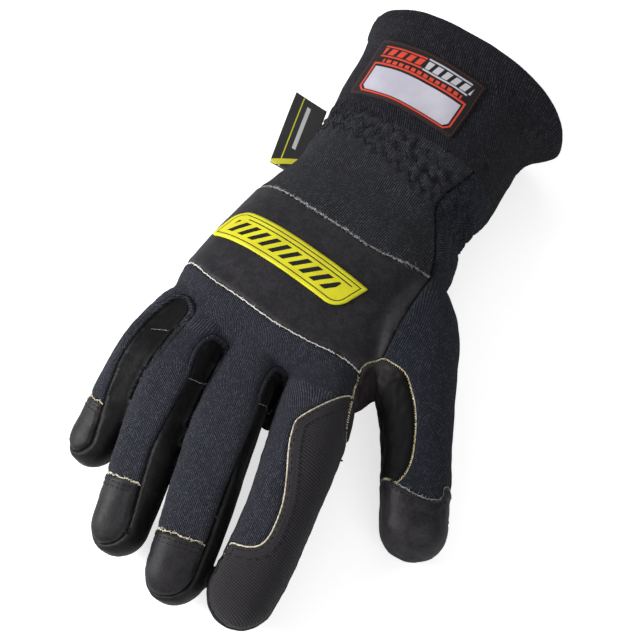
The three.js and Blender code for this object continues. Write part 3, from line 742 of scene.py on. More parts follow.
def raisedBy(points, labels, seam, u):
    # how far each vertex stands out from the smooth skin
    names = np.array(labelNames)[labels]
    leather = np.isin(names, list(leatherNames))
    knit = ~leather & (names != "indexPanel")
    size = np.where(leather, relief["leatherPuff"], relief["knitPuff"])
    at = np.where(leather, relief["leatherPuffAt"], relief["knitPuffAt"])
    height = size * seam / at * np.exp(1 - seam / at) - relief["groove"] * bell(seam, 0, relief["grooveWidth"])
    pucker = relief["pucker"] * np.exp(-seam / relief["puckerReach"])
    height += pucker * noiseAt(points, relief["puckerSize"]) * np.minimum(seam, 1.0)
    fade = smoothStep(seam, 0.0, relief["fadeIn"])
    height += knit * fade * relief["knitWaves"] * mixedNoise(points, waves["knit"])
    height += leather * fade * relief["leatherWaves"] * mixedNoise(points, waves["leather"])
    onTip = (names == "thumbCap") * np.exp(-seam / thumbTipFolds["reach"]) * fade * thumbTipFolds["depth"]
    stretched = points * np.array(thumbTipFolds["stretch"])
    height += onTip * noiseAt(stretched, thumbTipFolds["size"], thumbTipFolds["shift"])
    # the crumpled crotch of the thumb
    inWeb = (names == "webPatch") * smoothStep(seam, *webFolds["seam"])
    crotchX, crotchY = webFolds["centre"]
    crotch = np.exp(-((points[:, 0] - crotchX) ** 2 + (points[:, 1] - crotchY) ** 2) / webFolds["spread"])
    stretched = points * np.array(webFolds["stretch"])
    crumpled = noiseAt(stretched, webFolds["size"], webFolds["shift"])
    height += inWeb * (webFolds["depth"] + webFolds["centreDepth"] * crotch) * crumpled
    # elastic, gathered in rows of zigzag stitches
    away = fromElastic(points[:, 0], points[:, 1])
    gathered = bell(away, elastic["rows"][1], elastic["gatherReach"]) * (knit | (names == "palm"))
    around = np.stack([u / elastic["gatherPitch"], away / elastic["gatherLength"], np.zeros(len(u))], axis=1)
    height += elastic["gather"] * gathered * (mixedNoise(around, waves["gathers"]) - elastic["sunk"])
    for row in elastic["rows"]:
        height -= elastic["dip"] * gathered * bell(away - row, zigzagAt(u + row), elastic["dipWidth"])
    # creases in the cloth over the wrist and the thumb's root
    for crease in creases:
        beside = besideLine(points, crease["line"])
        height -= (points[:, 2] > creasesOver) * fade * crease["depth"] * bell(beside, 0, crease["reach"])
    # folded hem at the rim
    rim = fromRim(points)
    height += hem["step"] * smoothStep(rim, hem["line"] + hem["stepHalf"], hem["line"] - hem["stepHalf"])
    height -= hem["lineDip"] * bell(rim, hem["line"], hem["lineWidth"])
    height -= hem["dip"] * bell(rim - hem["zigzagAt"], hem["zigzag"] * zigzagAt(u), hem["dipWidth"])
    around = np.stack([u / hem["rippleAround"], rim / hem["rippleAlong"], 0 * u], axis=1)
    rippled = noiseAt(around, hem["rippleSize"], hem["rippleShift"])
    height += hem["ripple"] * bell(rim, hem["rippleAt"], hem["rippleReach"]) * rippled
    height -= hem["edge"] * np.exp(-rim / hem["edgeWidth"])
    # stitched lip round each slit between the fingers
    lip = lipAt(points, names)
    height += slits["lip"] * lip * bell(seam, slits["lipAt"], slits["lipWidth"])
    height -= slits["dip"] * lip * bell(seam, slits["line"], slits["dipWidth"])
    sunk = (names == "palm") * smoothStep(points[:, 2], *slits["sunkOver"])
    sunk = sunk * smoothStep(points[:, 1], *slits["sunkFrom"])
    height -= slits["depth"] * sunk * smoothStep(seam, 0.0, slits["depthWidth"])
    return height


def lipAt(points, names):
    # how much of the slits' rolled lip there is here
    x, y, z = points.T
    inReach = smoothStep(y, *slits["front"]) * smoothStep(y, *slits["rear"])
    clear = smoothStep(besideLine(points, bandFront[::4]), *slits["clearOfBand"])
    return (names == "fingerBack") * inReach * clear * (z > slits["over"]) * (x > slits["left"]) * (x < slits["right"])


# the web patch's hollow, darkened with painted shade, along the thumb, by x and across the thumb
hollow = {"along": (0.38, 0.46), "x": (36.0, 40.0), "across": (14.0, 2.0)}
clothWrap = 60


def dressSkin(bm, labels):
    # presses the relief into the skin and gives it the attributes that the finishes read
    bm.verts.ensure_lookup_table()
    bm.verts.index_update()
    points = coordinates(bm)
    own = np.array([min(int(labels[f.index]) for f in v.link_faces) for v in bm.verts])
    names = np.array(labelNames)[own]
    seam = seamDistances(bm, labels)
    u, v = clothPlaces(points, own)
    height = raisedBy(points, own, seam, u)
    thumbShare, thumbAcross, _, _ = onFinger(thumb, points)
    # painted shade over the web patch's hollow beside the thumb, which the leather reads
    paintedHollowShade = (names == "webPatch") * smoothStep(thumbShare, *hollow["along"])
    paintedHollowShade = paintedHollowShade * smoothStep(points[:, 0], *hollow["x"]) * smoothStep(thumbAcross, *hollow["across"])
    read = {"seam": seam, "paintedHollowShade": paintedHollowShade, "lip": lipAt(points, names)}
    layers = {name: bm.verts.layers.float.new(name) for name in read}
    cloth = bm.loops.layers.uv.new("cloth")
    for face in bm.faces:
        corners = [u[loop.vert.index] for loop in face.loops]
        wraps = max(corners) - min(corners) > clothWrap
        for loop, corner in zip(face.loops, corners):
            if wraps and corner < 0:
                corner += 2 * max(abs(c) for c in corners)
            loop[cloth].uv = (corner, v[loop.vert.index])
    bm.normal_update()
    for vert in bm.verts:
        for name, layer in layers.items():
            vert[layer] = read[name][vert.index]
        lifted = vert.co + vert.normal * height[vert.index]
        vert.co = (lifted.x, lifted.y, max(lifted.z, 0.05))
    bm.normal_update()


# panels: the CAD node each stands for, its finish and its wall
panels = {
    "palm": {"called": "palmLeather", "node": "palm", "slot": "palm_leather", "wall": 1.5},
    "fingerBack": {"called": "fingerBackKnit", "node": "finger_back", "slot": "knit", "wall": 1.5},
    "wristBack": {"called": "wristBackKnit", "node": "wrist_back", "slot": "knit", "wall": 1.5},
    "thumbSide": {"called": "thumbSideKnit", "node": "thumb_side", "slot": "knit", "wall": 1.5},
    "cuff": {"called": "cuffKnit", "node": "cuff", "slot": "knit", "wall": 1.6},
    "knuckleBand": {"called": "knuckleBandLeather", "node": "knuckle_band", "slot": "band_leather", "wall": 1.5},
    "capLittle": {"called": "littleFingerCap", "node": "cap_little", "slot": "band_leather", "wall": 1.5},
    "capRing": {"called": "ringFingerCap", "node": "cap_ring", "slot": "band_leather", "wall": 1.5},
    "capMiddle": {"called": "middleFingerCap", "node": "cap_middle", "slot": "band_leather", "wall": 1.5},
    "thumbCap": {"called": "thumbTipLeather", "node": "thumb_cap", "slot": "band_leather", "wall": 1.5},
    "webPatch": {"called": "thumbWebPatch", "node": "web_patch", "slot": "band_leather", "wall": 1.5},
    "indexPanel": {"called": "indexTwillPanel", "node": "index_panel", "slot": "index_twill", "wall": 1.5},
}


def finished(name, mesh, material, nodes=(), wall=0.0):
    # a piece in metres at the origin, riding on the glove
    mesh.transform(toMetres)
    mesh.materials.append(material)
    mesh.shade_smooth()
    piece = linked(name, mesh)
    if wall:
        shell = piece.modifiers.new("wall", "SOLIDIFY")
        shell.thickness = wall / 1000
        shell.offset = -1
        shell.use_quality_normals = True
    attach(piece, "root")
    if nodes:
        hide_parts(*nodes)
    return piece


def cutPanel(skin, labels, name):
    part = skin.copy()
    part.faces.ensure_lookup_table()
    number = labelNames.index(name)
    others = [f for f in part.faces if labels[f.index] != number]
    bmesh.ops.delete(part, geom=others, context="FACES")
    return meshFrom(part, name)


# threads
class SeamPath:
    # points along a seam at even spacing, with the way up, ahead and towards the named piece
    def __init__(self, skin, chain, towards, spacing):
        raw = np.array([skin.verts[i].co[:] for i in chain])
        ups = np.array([skin.verts[i].normal[:] for i in chain])
        for _ in range(2):
            raw[1:-1] = (raw[:-2] + 2 * raw[1:-1] + raw[2:]) / 4
            ups[1:-1] = (ups[:-2] + 2 * ups[1:-1] + ups[2:]) / 4
        run = np.concatenate([[0], np.cumsum(np.linalg.norm(np.diff(raw, axis=0), axis=1))])
        place = np.arange(0, run[-1], spacing)
        self.points, self.ups = [np.stack([np.interp(place, run, rows[:, k]) for k in range(3)], axis=1)
                                 for rows in (raw, ups)]
        self.ups /= np.linalg.norm(self.ups, axis=1, keepdims=True)
        self.aheads = np.gradient(self.points, axis=0)
        self.aheads /= np.maximum(np.linalg.norm(self.aheads, axis=1, keepdims=True), 1e-6)
        self.asides = np.cross(self.ups, self.aheads)
        if towards < palmLabel:
            inside = regions[towards][1]
            middle = len(place) // 2
            here = slice(max(middle - 5, 0), middle + 5)
            gain = inside(self.points[here] + self.asides[here]) - inside(self.points[here] - self.asides[here])
            if gain.sum() < 0:
                self.asides = -self.asides


def seamPaths(skin, labels, first, second, spacing):
    # paths whose aside points into the first piece
    number = labelNames.index(first)
    return [SeamPath(skin, chain, number, spacing) for chain in seamChains(skin, labels, first, second)]


def newThreads(radius, sides=1):
    curve = bpy.data.curves.new("threads", "CURVE")
    curve.dimensions = "3D"
    curve.bevel_depth = radius
    curve.bevel_resolution = sides
    curve.use_fill_caps = True
    return curve


def addStrand(curve, points, radii):
    spline = curve.splines.new("POLY")
    spline.points.add(len(points) - 1)
    for point, co, radius in zip(spline.points, points, radii):
        point.co = (co[0], co[1], co[2], 1.0)
        point.radius = radius


def threadsToMesh(curve):
    mesh = baked(linked("threads", curve))
    bpy.data.curves.remove(curve)
    return mesh


def frayedSeam(curve, path, style):
    # one uneven strand and the loose fibres along it
    count = len(path.points)
    if count < 4:
        return
    wander = np.array([noise.noise(Vector(p) * 0.9) for p in path.points])[:, None]
    centre = path.points + path.ups * style["lift"] + path.asides * (style["shift"] + wander * style["wander"])
    radii = [1.0 + style["uneven"] * noise.noise(Vector(p) * 1.7 + Vector((4, 0, 0))) for p in centre]
    addStrand(curve, centre, radii)
    for i in range(count):
        if random.random() > style["fibres"]:
            continue
        side = random.uniform(-1, 1)
        way = path.asides[i] * side + path.aheads[i] * random.uniform(-0.9, 0.9)
        way = way + path.ups[i] * random.uniform(0.1, 0.7)
        bend = path.aheads[i] * random.uniform(-0.5, 0.5) - path.ups[i] * 0.3
        reach = random.uniform(0.4, 1.0) * style["fibreLength"]
        hair = [centre[i] + way * reach * t + bend * reach * t * t for t in (0, 0.35, 0.7, 1.0)]
        addStrand(curve, hair, [style["fibreRadius"], style["fibreRadius"], style["fibreRadius"] * 0.8, 0.1])


def overlockSeam(curve, path, style):
    # loops of thread laid over the edge one after another
    count = len(path.points)
    for i in range(1, count - 1):
        sway = random.uniform(-0.4, 0.4)
        loop = []
        for t in np.linspace(0, 1, 6):
            over = style["inside"] * (1 - t) - style["outside"] * t
            rise = style["lift"] + style["height"] * math.sin(math.pi * t)
            slant = style["slant"] * (t - 0.5) + sway * math.sin(math.pi * t)
            loop.append(path.points[i] + path.asides[i] * over + path.ups[i] * rise + path.aheads[i] * slant)
        addStrand(curve, loop, [0.8, 1, 1.1, 1.1, 1, 0.8])
    edge = path.points - path.asides * style["outside"] * 0.8 + path.ups * (style["lift"] + 0.1)
    addStrand(curve, edge, np.full(count, 1.2))


def stitchRow(bm, tree, path, style):
    # a row of separate stitches beside the seam, pulled onto the cloth
    step = style["pitch"] / max(np.linalg.norm(path.points[1] - path.points[0]), 1e-6)
    i = 0.0
    while i < len(path.points) - 1:
        k = int(i)
        start = Vector(path.points[k] + path.asides[k] * style["away"])
        place, up, _, gap = tree.find_nearest(start)
        i += step
        if place is None or gap > 1.5:
            continue
        ahead = Vector(path.aheads[k])
        ahead = (ahead - up * ahead.dot(up)).normalized()
        frame3 = Matrix((ahead, up.cross(ahead), up)).transposed().to_4x4()
        size = Matrix.Diagonal((style["length"] / 2, style["radius"], style["radius"], 1))
        bmesh.ops.create_uvsphere(bm, u_segments=6, v_segments=5, radius=1.0,
                                  matrix=Matrix.Translation(place + up * style["lift"]) @ frame3 @ size)


# finishes
def addNode(tree, kind, inputs=None, **settings):
    node = tree.nodes.new(kind)
    for key, value in settings.items():
        setattr(node, key, value)
    for key, value in (inputs or {}).items():
        if isinstance(value, bpy.types.NodeSocket):
            tree.links.new(value, node.inputs[key])
        else:
            node.inputs[key].default_value = value
    return node


def maths(tree, operation, a, b=0.0, c=0.0, clamp=False):
    node = addNode(tree, "ShaderNodeMath", {0: a, 1: b, 2: c}, operation=operation, use_clamp=clamp)
    return node.outputs[0]


def times(tree, first, *others):
    for other in others:
        first = maths(tree, "MULTIPLY", first, other)
    return first


def highest(tree, first, *others):
    for other in others:
        first = maths(tree, "MAXIMUM", first, other)
    return first


def awayFrom(tree, value, centre):
    return maths(tree, "ABSOLUTE", maths(tree, "SUBTRACT", value, centre))


def wave(tree, value, pitch):
    # ribs one pitch apart
    return maths(tree, "ABSOLUTE", maths(tree, "SINE", maths(tree, "MULTIPLY", value, math.pi / pitch)))


def withinCell(tree, value, pitch):
    # share of the way through each cell
    return maths(tree, "FRACT", maths(tree, "DIVIDE", value, pitch))


def noiseOf(tree, place, scale, detail, **more):
    inputs = {"Vector": place, "Scale": scale, "Detail": detail, **more}
    return addNode(tree, "ShaderNodeTexNoise", inputs).outputs["Fac"]


def blendColours(tree, share, first, second):
    return addNode(tree, "ShaderNodeMix", {0: share, 6: first, 7: second}, data_type="RGBA").outputs[2]


def between(tree, value, low, high, start=0.0, stop=1.0):
    # a smooth step of the value from low to high
    node = addNode(tree, "ShaderNodeMapRange", {"Value": value, "From Min": low, "From Max": high, "To Min": start,
                                                "To Max": stop}, interpolation_type="SMOOTHSTEP")
    return node.outputs[0]


def barMask(tree, value, centre, half, soft=0.12):
    # 1 within half a width of the centre
    return between(tree, awayFrom(tree, value, centre), half + soft, half - soft)


def boxMask(tree, u, v, centre, half):
    return times(tree, barMask(tree, u, centre[0], half[0]), barMask(tree, v, centre[1], half[1]))


def newGroup(name, inputs, outputs):
    # inputs that take a number have one to start from, the others take a vector
    group = bpy.data.node_groups.new(name, "ShaderNodeTree")
    for label, value in inputs.items():
        kind = "NodeSocketVector" if value is None else "NodeSocketFloat"
        socket = group.interface.new_socket(name=label, in_out="INPUT", socket_type=kind)
        if value is not None:
            socket.default_value = value
    for label in outputs:
        group.interface.new_socket(name=label, in_out="OUTPUT", socket_type="NodeSocketFloat")
    return group, group.nodes.new("NodeGroupInput").outputs, group.nodes.new("NodeGroupOutput")


def giveOut(group, out, values):
    for label, value in values.items():
        group.links.new(value, out.inputs[label])
    return group


def turnedCloth(tree, cloth, angle):
    # the cloth's coordinates across and along, turned by an angle
    inputs = {"Vector": cloth, "Angle": angle}
    turned = addNode(tree, "ShaderNodeVectorRotate", inputs, rotation_type="Z_AXIS").outputs[0]
    split = addNode(tree, "ShaderNodeSeparateXYZ", {0: turned}).outputs
    return turned, split[0], split[1]


def makeKnitGroup():
    # columns of small V stitches, from cloth coordinates in mm, with a mask of the raised stitch parts for a painted
    # highlight
    inputs = {"Cloth": None, "Column": 1.2, "Course": 1.0, "Tilt": 0.0, "Wobble": 0.07}
    group, given, out = newGroup("knit stitches", inputs, ["Height", "RidgeLight", "Fleck"])
    turned, across, along = turnedCloth(group, given["Cloth"], given["Tilt"])
    drift = noiseOf(group, turned, 0.22, 2.0)
    sway = times(group, maths(group, "SUBTRACT", drift, 0.5), times(group, given["Wobble"], 6.0))
    column = maths(group, "DIVIDE", maths(group, "ADD", across, sway), given["Column"])
    within = maths(group, "FRACT", column)
    slope = times(group, awayFrom(group, within, 0.5), 1.1)
    course = maths(group, "ADD", maths(group, "DIVIDE", along, given["Course"]), slope)
    rib = maths(group, "SINE", times(group, within, math.pi))
    leg = maths(group, "ABSOLUTE", maths(group, "SINE", times(group, course, math.pi)))
    height = times(group, rib, maths(group, "MULTIPLY_ADD", leg, 0.55, 0.45))
    cell = addNode(group, "ShaderNodeCombineXYZ", {0: maths(group, "FLOOR", column), 1: maths(group, "FLOOR", course)})
    chance = addNode(group, "ShaderNodeTexWhiteNoise", {"Vector": cell.outputs[0]}, noise_dimensions="2D")
    # 1 on the raised parts of the stitches, where the knit gets its painted highlight, with painted shade in the
    # valleys
    ridgeLight = between(group, height, 0.05, 0.65)
    return giveOut(group, out, {"Height": height, "RidgeLight": ridgeLight, "Fleck": chance.outputs["Value"]})


def makeGrainGroup():
    # fine leather pebbles and creases, in the object's own space, and blotches for a painted sheen
    inputs = {"Place": None, "Pebble": 900.0, "Crease": 90.0}
    group, given, out = newGroup("leather grain", inputs, ["Height", "PaintedSheen"])
    place = given["Place"]
    pebble = addNode(group, "ShaderNodeTexVoronoi", {"Vector": place, "Scale": given["Pebble"], "Randomness": 1.0},
                     feature="SMOOTH_F1")
    crease = noiseOf(group, place, given["Crease"], 6.0, Roughness=0.65, Distortion=0.8)
    soft = noiseOf(group, place, 28.0, 3.0)
    height = maths(group, "ADD", times(group, pebble.outputs["Distance"], -0.5), times(group, crease, 0.9))
    # blotches over the creases, which are painted lighter: a painted sheen
    paintedSheen = times(group, between(group, soft, 0.38, 0.68), between(group, crease, 0.3, 0.7))
    return giveOut(group, out, {"Height": height, "PaintedSheen": paintedSheen})


def makeLintGroup():
    # pale specks and short hairs caught on the surface
    group, given, out = newGroup("lint", {"Place": None, "Specks": 500.0, "Amount": 0.2}, ["Mask"])
    speck = noiseOf(group, given["Place"], given["Specks"], 2.0)
    patch = noiseOf(group, given["Place"], 35.0, 2.0)
    mask = times(group, between(group, speck, 0.58, 0.74), between(group, patch, 0.35, 0.7), given["Amount"])
    return giveOut(group, out, {"Mask": mask})


def makeSeamGroup():
    # shade in the seams and wear on the folded edges beside them, from the distance to the nearest seam in mm
    inputs = {"Distance": 0.0, "Place": None, "Width": 1.1, "Wear Reach": 2.2}
    group, given, out = newGroup("seam shade", inputs, ["Shade", "Wear"])
    patch = noiseOf(group, given["Place"], 120.0, 4.0)
    shade = between(group, given["Distance"], 0.0, given["Width"], 0.35, 1.0)
    near = between(group, given["Distance"], given["Wear Reach"], 0.6)
    return giveOut(group, out, {"Shade": shade, "Wear": times(group, near, between(group, patch, 0.42, 0.66))})


knitGroup, grainGroup, lintGroup, seamGroup = makeKnitGroup(), makeGrainGroup(), makeLintGroup(), makeSeamGroup()


def useGroup(tree, group, inputs):
    return addNode(tree, "ShaderNodeGroup", inputs, node_tree=group).outputs


def newMaterial(name):
    material = bpy.data.materials.new(name)
    material.use_nodes = True
    tree = material.node_tree
    place = addNode(tree, "ShaderNodeTexCoord").outputs["Object"]
    return material, tree, tree.nodes["Principled BSDF"], place


def attributeOf(tree, name):
    return addNode(tree, "ShaderNodeAttribute", attribute_name=name).outputs["Fac"]


def setShader(tree, shader, colour, roughness, normal=None, **constants):
    tree.links.new(colour, shader.inputs["Base Color"])
    tree.links.new(roughness, shader.inputs["Roughness"])
    if normal is not None:
        tree.links.new(normal, shader.inputs["Normal"])
    for key, value in constants.items():
        shader.inputs[key.replace("_", " ")].default_value = value


def bump(tree, height, strength, distance, below=None):
    inputs = {"Height": height, "Strength": strength, "Distance": distance}
    if below is not None:
        inputs["Normal"] = below
    return addNode(tree, "ShaderNodeBump", inputs).outputs[0]


def colourOf(r, g, b):
    # a colour picked on screen, as linear light
    return tuple(((v / 255 + 0.055) / 1.055) ** 2.4 if v > 10 else v / 255 / 12.92 for v in (r, g, b)) + (1.0,)


knitShade, leatherShade = (0.003, 0.003, 0.004, 1), (0.002, 0.002, 0.002, 1)


def linear(look):
    # a look with its colours, picked on screen, as linear light
    return {name: colourOf(*value) if isinstance(value, tuple) else value for name, value in look.items()}


def shareInto(tree, tone, steps):
    # lays colours over a tone one after another, each by its share
    for share, colour in steps:
        tone = blendColours(tree, share, tone, colour)
    return tone


def knitMaterial(name, look):
    material, tree, shader, place = newMaterial(name)
    style = linear(look)
    cloth = addNode(tree, "ShaderNodeUVMap", uv_map="cloth").outputs[0]
    stitches = useGroup(tree, knitGroup, {"Cloth": cloth, "Column": style["column"], "Course": style["course"],
                                          "Tilt": style["tilt"]})
    lint = useGroup(tree, lintGroup, {"Place": place, "Amount": style["lint"]})
    distance = attributeOf(tree, "seam")
    seam = useGroup(tree, seamGroup, {"Distance": distance, "Place": place})
    blotch = noiseOf(tree, place, 45.0, 5.0, Roughness=0.7)
    fuzz = noiseOf(tree, place, 1500.0, 2.0)
    # flecks of paler yarn on the stitch tops: partly melange, partly painted highlight
    fleck = times(tree, between(tree, stitches["Fleck"], 0.55, 1.0), stitches["RidgeLight"], style["melangeAndHighlight"])
    lipLine = times(tree, barMask(tree, distance, slits["line"], 0.3, 0.3), attributeOf(tree, "lip"), 0.75)
    # painted shade in the stitch valleys, painted highlight on the stitch tops
    tone = blendColours(tree, stitches["RidgeLight"], style["deep"], style["face"])
    fading = between(tree, blotch, 0.35, 0.7, 0.0, 0.5)
    tone = shareInto(tree, tone, [(fleck, style["fleck"]), (fading, style["faded"]), (lint["Mask"], style["lintColour"]),
                                  (lipLine, knitShade)])
    shaded = blendColours(tree, seam["Shade"], knitShade, tone)
    stitched = bump(tree, stitches["Height"], style["depth"], 0.0005)
    fuzzy = bump(tree, fuzz, 0.25, 0.0002, stitched)
    setShader(tree, shader, shaded, between(tree, blotch, 0.2, 0.8, 0.86, 0.98), fuzzy,
              Sheen_Weight=style["sheen"], Sheen_Roughness=0.5, Specular_IOR_Level=0.12)
    return material


def leatherMaterial(name, look):
    material, tree, shader, place = newMaterial(name)
    style = linear(look)
    grain = useGroup(tree, grainGroup, {"Place": place, "Pebble": style["pebble"], "Crease": style["crease"]})
    lint = useGroup(tree, lintGroup, {"Place": place, "Specks": 420.0, "Amount": style["lint"]})
    seam = useGroup(tree, seamGroup, {"Distance": attributeOf(tree, "seam"), "Place": place, "Width": 0.9})
    tone = blendColours(tree, between(tree, grain["Height"], 0.05, 0.6), style["deep"], style["face"])
    # lighter blotches over the creases are a painted sheen; the wear beside the seams and the lint are the leather's
    # own
    # the last step darkens the web patch's hollow: painted shade
    tone = shareInto(tree, tone, [
        (times(tree, grain["PaintedSheen"], style["paintedSheen"]), style["sheenColour"]),
        (times(tree, seam["Wear"], style["wear"]), style["worn"]),
        (lint["Mask"], style["worn"]), (times(tree, attributeOf(tree, "paintedHollowShade"), 0.9), leatherShade)])
    shaded = blendColours(tree, seam["Shade"], leatherShade, tone)
    roughness = between(tree, grain["Height"], 0.0, 0.7, style["rough"] - 0.08, style["rough"] + 0.08)
    setShader(tree, shader, shaded, roughness, bump(tree, grain["Height"], style["grain"], 0.0003),
              Specular_IOR_Level=style["gloss"], Sheen_Weight=0.05, Sheen_Roughness=0.4)
    return material


def twillMaterial(name, look):
    # ribbed cloth with a stitched strip along its seam
    material, tree, shader, place = newMaterial(name)
    style = linear(look)
    cloth = addNode(tree, "ShaderNodeUVMap", uv_map="cloth").outputs[0]
    _, across, along = turnedCloth(tree, cloth, style["tilt"])
    rib, weft = wave(tree, along, style["rib"]), wave(tree, across, style["weft"])
    distance = attributeOf(tree, "seam")
    plain = between(tree, distance, style["strip"], style["strip"] + 0.5)
    woven = times(tree, maths(tree, "MULTIPLY_ADD", weft, 0.25, times(tree, rib, 0.75)), plain)
    seam = useGroup(tree, seamGroup, {"Distance": distance, "Place": place})
    lint = useGroup(tree, lintGroup, {"Place": place, "Amount": style["lint"]})
    raised = maths(tree, "MULTIPLY_ADD", plain, -0.5, maths(tree, "MULTIPLY_ADD", woven, 0.8, 0.5))
    tone = blendColours(tree, raised, style["deep"], style["face"])
    tone = shareInto(tree, tone, [(times(tree, seam["Wear"], 0.25), style["worn"]), (lint["Mask"], style["worn"])])
    shaded = blendColours(tree, seam["Shade"], leatherShade, tone)
    setShader(tree, shader, shaded, between(tree, woven, 0.0, 1.0, 0.85, 0.7), bump(tree, woven, 0.8, 0.0004),
              Specular_IOR_Level=0.2, Sheen_Weight=0.1, Sheen_Roughness=0.4)
    return material


def threadMaterial(name, look):
    material, tree, shader, place = newMaterial(name)
    style = linear(look)
    fine, soil = noiseOf(tree, place, style["twist"], 3.0), noiseOf(tree, place, 130.0, 2.0)
    share = times(tree, between(tree, fine, 0.3, 0.62), between(tree, soil, 0.3, 0.55, 0.45, 1.0))
    tone = blendColours(tree, share, style["dark"], style["light"])
    setShader(tree, shader, tone, between(tree, fine, 0.2, 0.8, 0.75, 0.95), bump(tree, fine, 0.5, 0.0002),
              Specular_IOR_Level=0.15, Sheen_Weight=0.1)
    return material


# looks of the cloths, leathers and threads, with colours as picked on screen
# deep is the colour of the stitch valleys with painted shade, face the colour of the stitch tops with a painted
# highlight
knit = {"column": 0.74, "course": 0.66, "tilt": 0.0, "depth": 1.3, "sheen": 0.06, "lint": 0.12, "melangeAndHighlight": 0.52,
        "deep": (15, 16, 20), "face": (68, 70, 82), "fleck": (112, 115, 128), "faded": (69, 71, 82),
        "lintColour": (120, 122, 130)}
band = {"pebble": 1500.0, "crease": 160.0, "lint": 0.05, "paintedSheen": 0.2, "wear": 0.3, "rough": 0.64, "grain": 0.22,
        "gloss": 0.2, "deep": (37, 36, 40), "face": (58, 55, 60), "sheenColour": (76, 73, 78), "worn": (100, 96, 95)}
cap = dict(band, pebble=1000.0, crease=110.0, grain=0.3, paintedSheen=0.3, wear=0.35, rough=0.56, gloss=0.27,
           deep=(23, 21, 24), face=(38, 35, 39), sheenColour=(58, 54, 59))
knitLooks = {
    "knit": knit,
    "wristKnit": dict(knit, column=0.95, course=0.85, depth=1.0, melangeAndHighlight=0.55, deep=(12, 12, 15), face=(56, 57, 63),
                      fleck=(90, 91, 96), faded=(54, 55, 60)),
    "sideKnit": dict(knit, tilt=0.6, column=0.9, depth=0.9, deep=(12, 13, 18), face=(44, 47, 57), fleck=(84, 88, 102),
                     faded=(44, 47, 57)),
    "cuffKnit": dict(knit, tilt=-0.35, column=0.95, depth=1.0, deep=(9, 9, 12), face=(42, 42, 49), fleck=(78, 79, 87),
                     faded=(36, 37, 44)),
}
leatherLooks = {
    "bandLeather": band,
    "capLeather": cap,
    "thumbCapLeather": dict(cap, crease=70.0, grain=0.5, paintedSheen=0.5, face=(47, 44, 49), sheenColour=(78, 74, 80)),
    "webLeather": dict(cap, crease=80.0, grain=0.5, gloss=0.15, rough=0.7, deep=(40, 36, 39), face=(60, 55, 59),
                       sheenColour=(78, 72, 76)),
    "palmLeather": dict(band, pebble=900.0, crease=90.0, grain=0.4, paintedSheen=0.25, wear=0.25, rough=0.58, gloss=0.25,
                        deep=(11, 10, 12), face=(22, 21, 24), sheenColour=(38, 36, 40), worn=(66, 64, 66)),
}
twillLooks = {
    "twill": {"tilt": 0.25, "rib": 0.9, "weft": 0.7, "strip": 3.4, "lint": 0.06, "deep": (30, 28, 31),
              "face": (66, 63, 67), "worn": (92, 88, 84)},
}
threadLooks = {
    "whiteThread": {"twist": 900.0, "light": (255, 254, 248), "dark": (206, 202, 192)},
    "creamThread": {"twist": 900.0, "light": (252, 244, 222), "dark": (186, 172, 146)},
    "greyThread": {"twist": 900.0, "light": (176, 174, 174), "dark": (92, 90, 92)},
    "yellowThread": {"twist": 900.0, "light": (255, 250, 216), "dark": (176, 156, 100)},
    "blackThread": {"twist": 1200.0, "light": (46, 46, 52), "dark": (16, 16, 19)},
}
materials = {}
for make, looks in ((knitMaterial, knitLooks), (leatherMaterial, leatherLooks), (twillMaterial, twillLooks),
                    (threadMaterial, threadLooks)):
    for name, look in looks.items():
        materials[name] = make(name, look)
panelMaterials = {
    "palm": "palmLeather", "fingerBack": "knit", "wristBack": "wristKnit", "thumbSide": "sideKnit", "cuff": "cuffKnit",
    "knuckleBand": "bandLeather", "capLittle": "capLeather", "capRing": "capLeather", "capMiddle": "capLeather",
    "thumbCap": "thumbCapLeather", "webPatch": "webLeather", "indexPanel": "twill",
}
print("finishes made")

skin = makeSkin()
print("skin:", len(skin.faces), "faces")
labels = labelFaces(skin)
snapToSeams(skin, labels)
print("panels laid out")
dressSkin(skin, labels)
print("relief pressed in")
skin.verts.ensure_lookup_table()
skin.faces.ensure_lookup_table()
skinTree = BVHTree.FromBMesh(skin)

for name, panel in panels.items():
    mesh = cutPanel(skin, labels, name)
    finished(panel["called"], mesh, materials[panelMaterials[name]], [panel["node"]], panel["wall"])
print("panels cut")

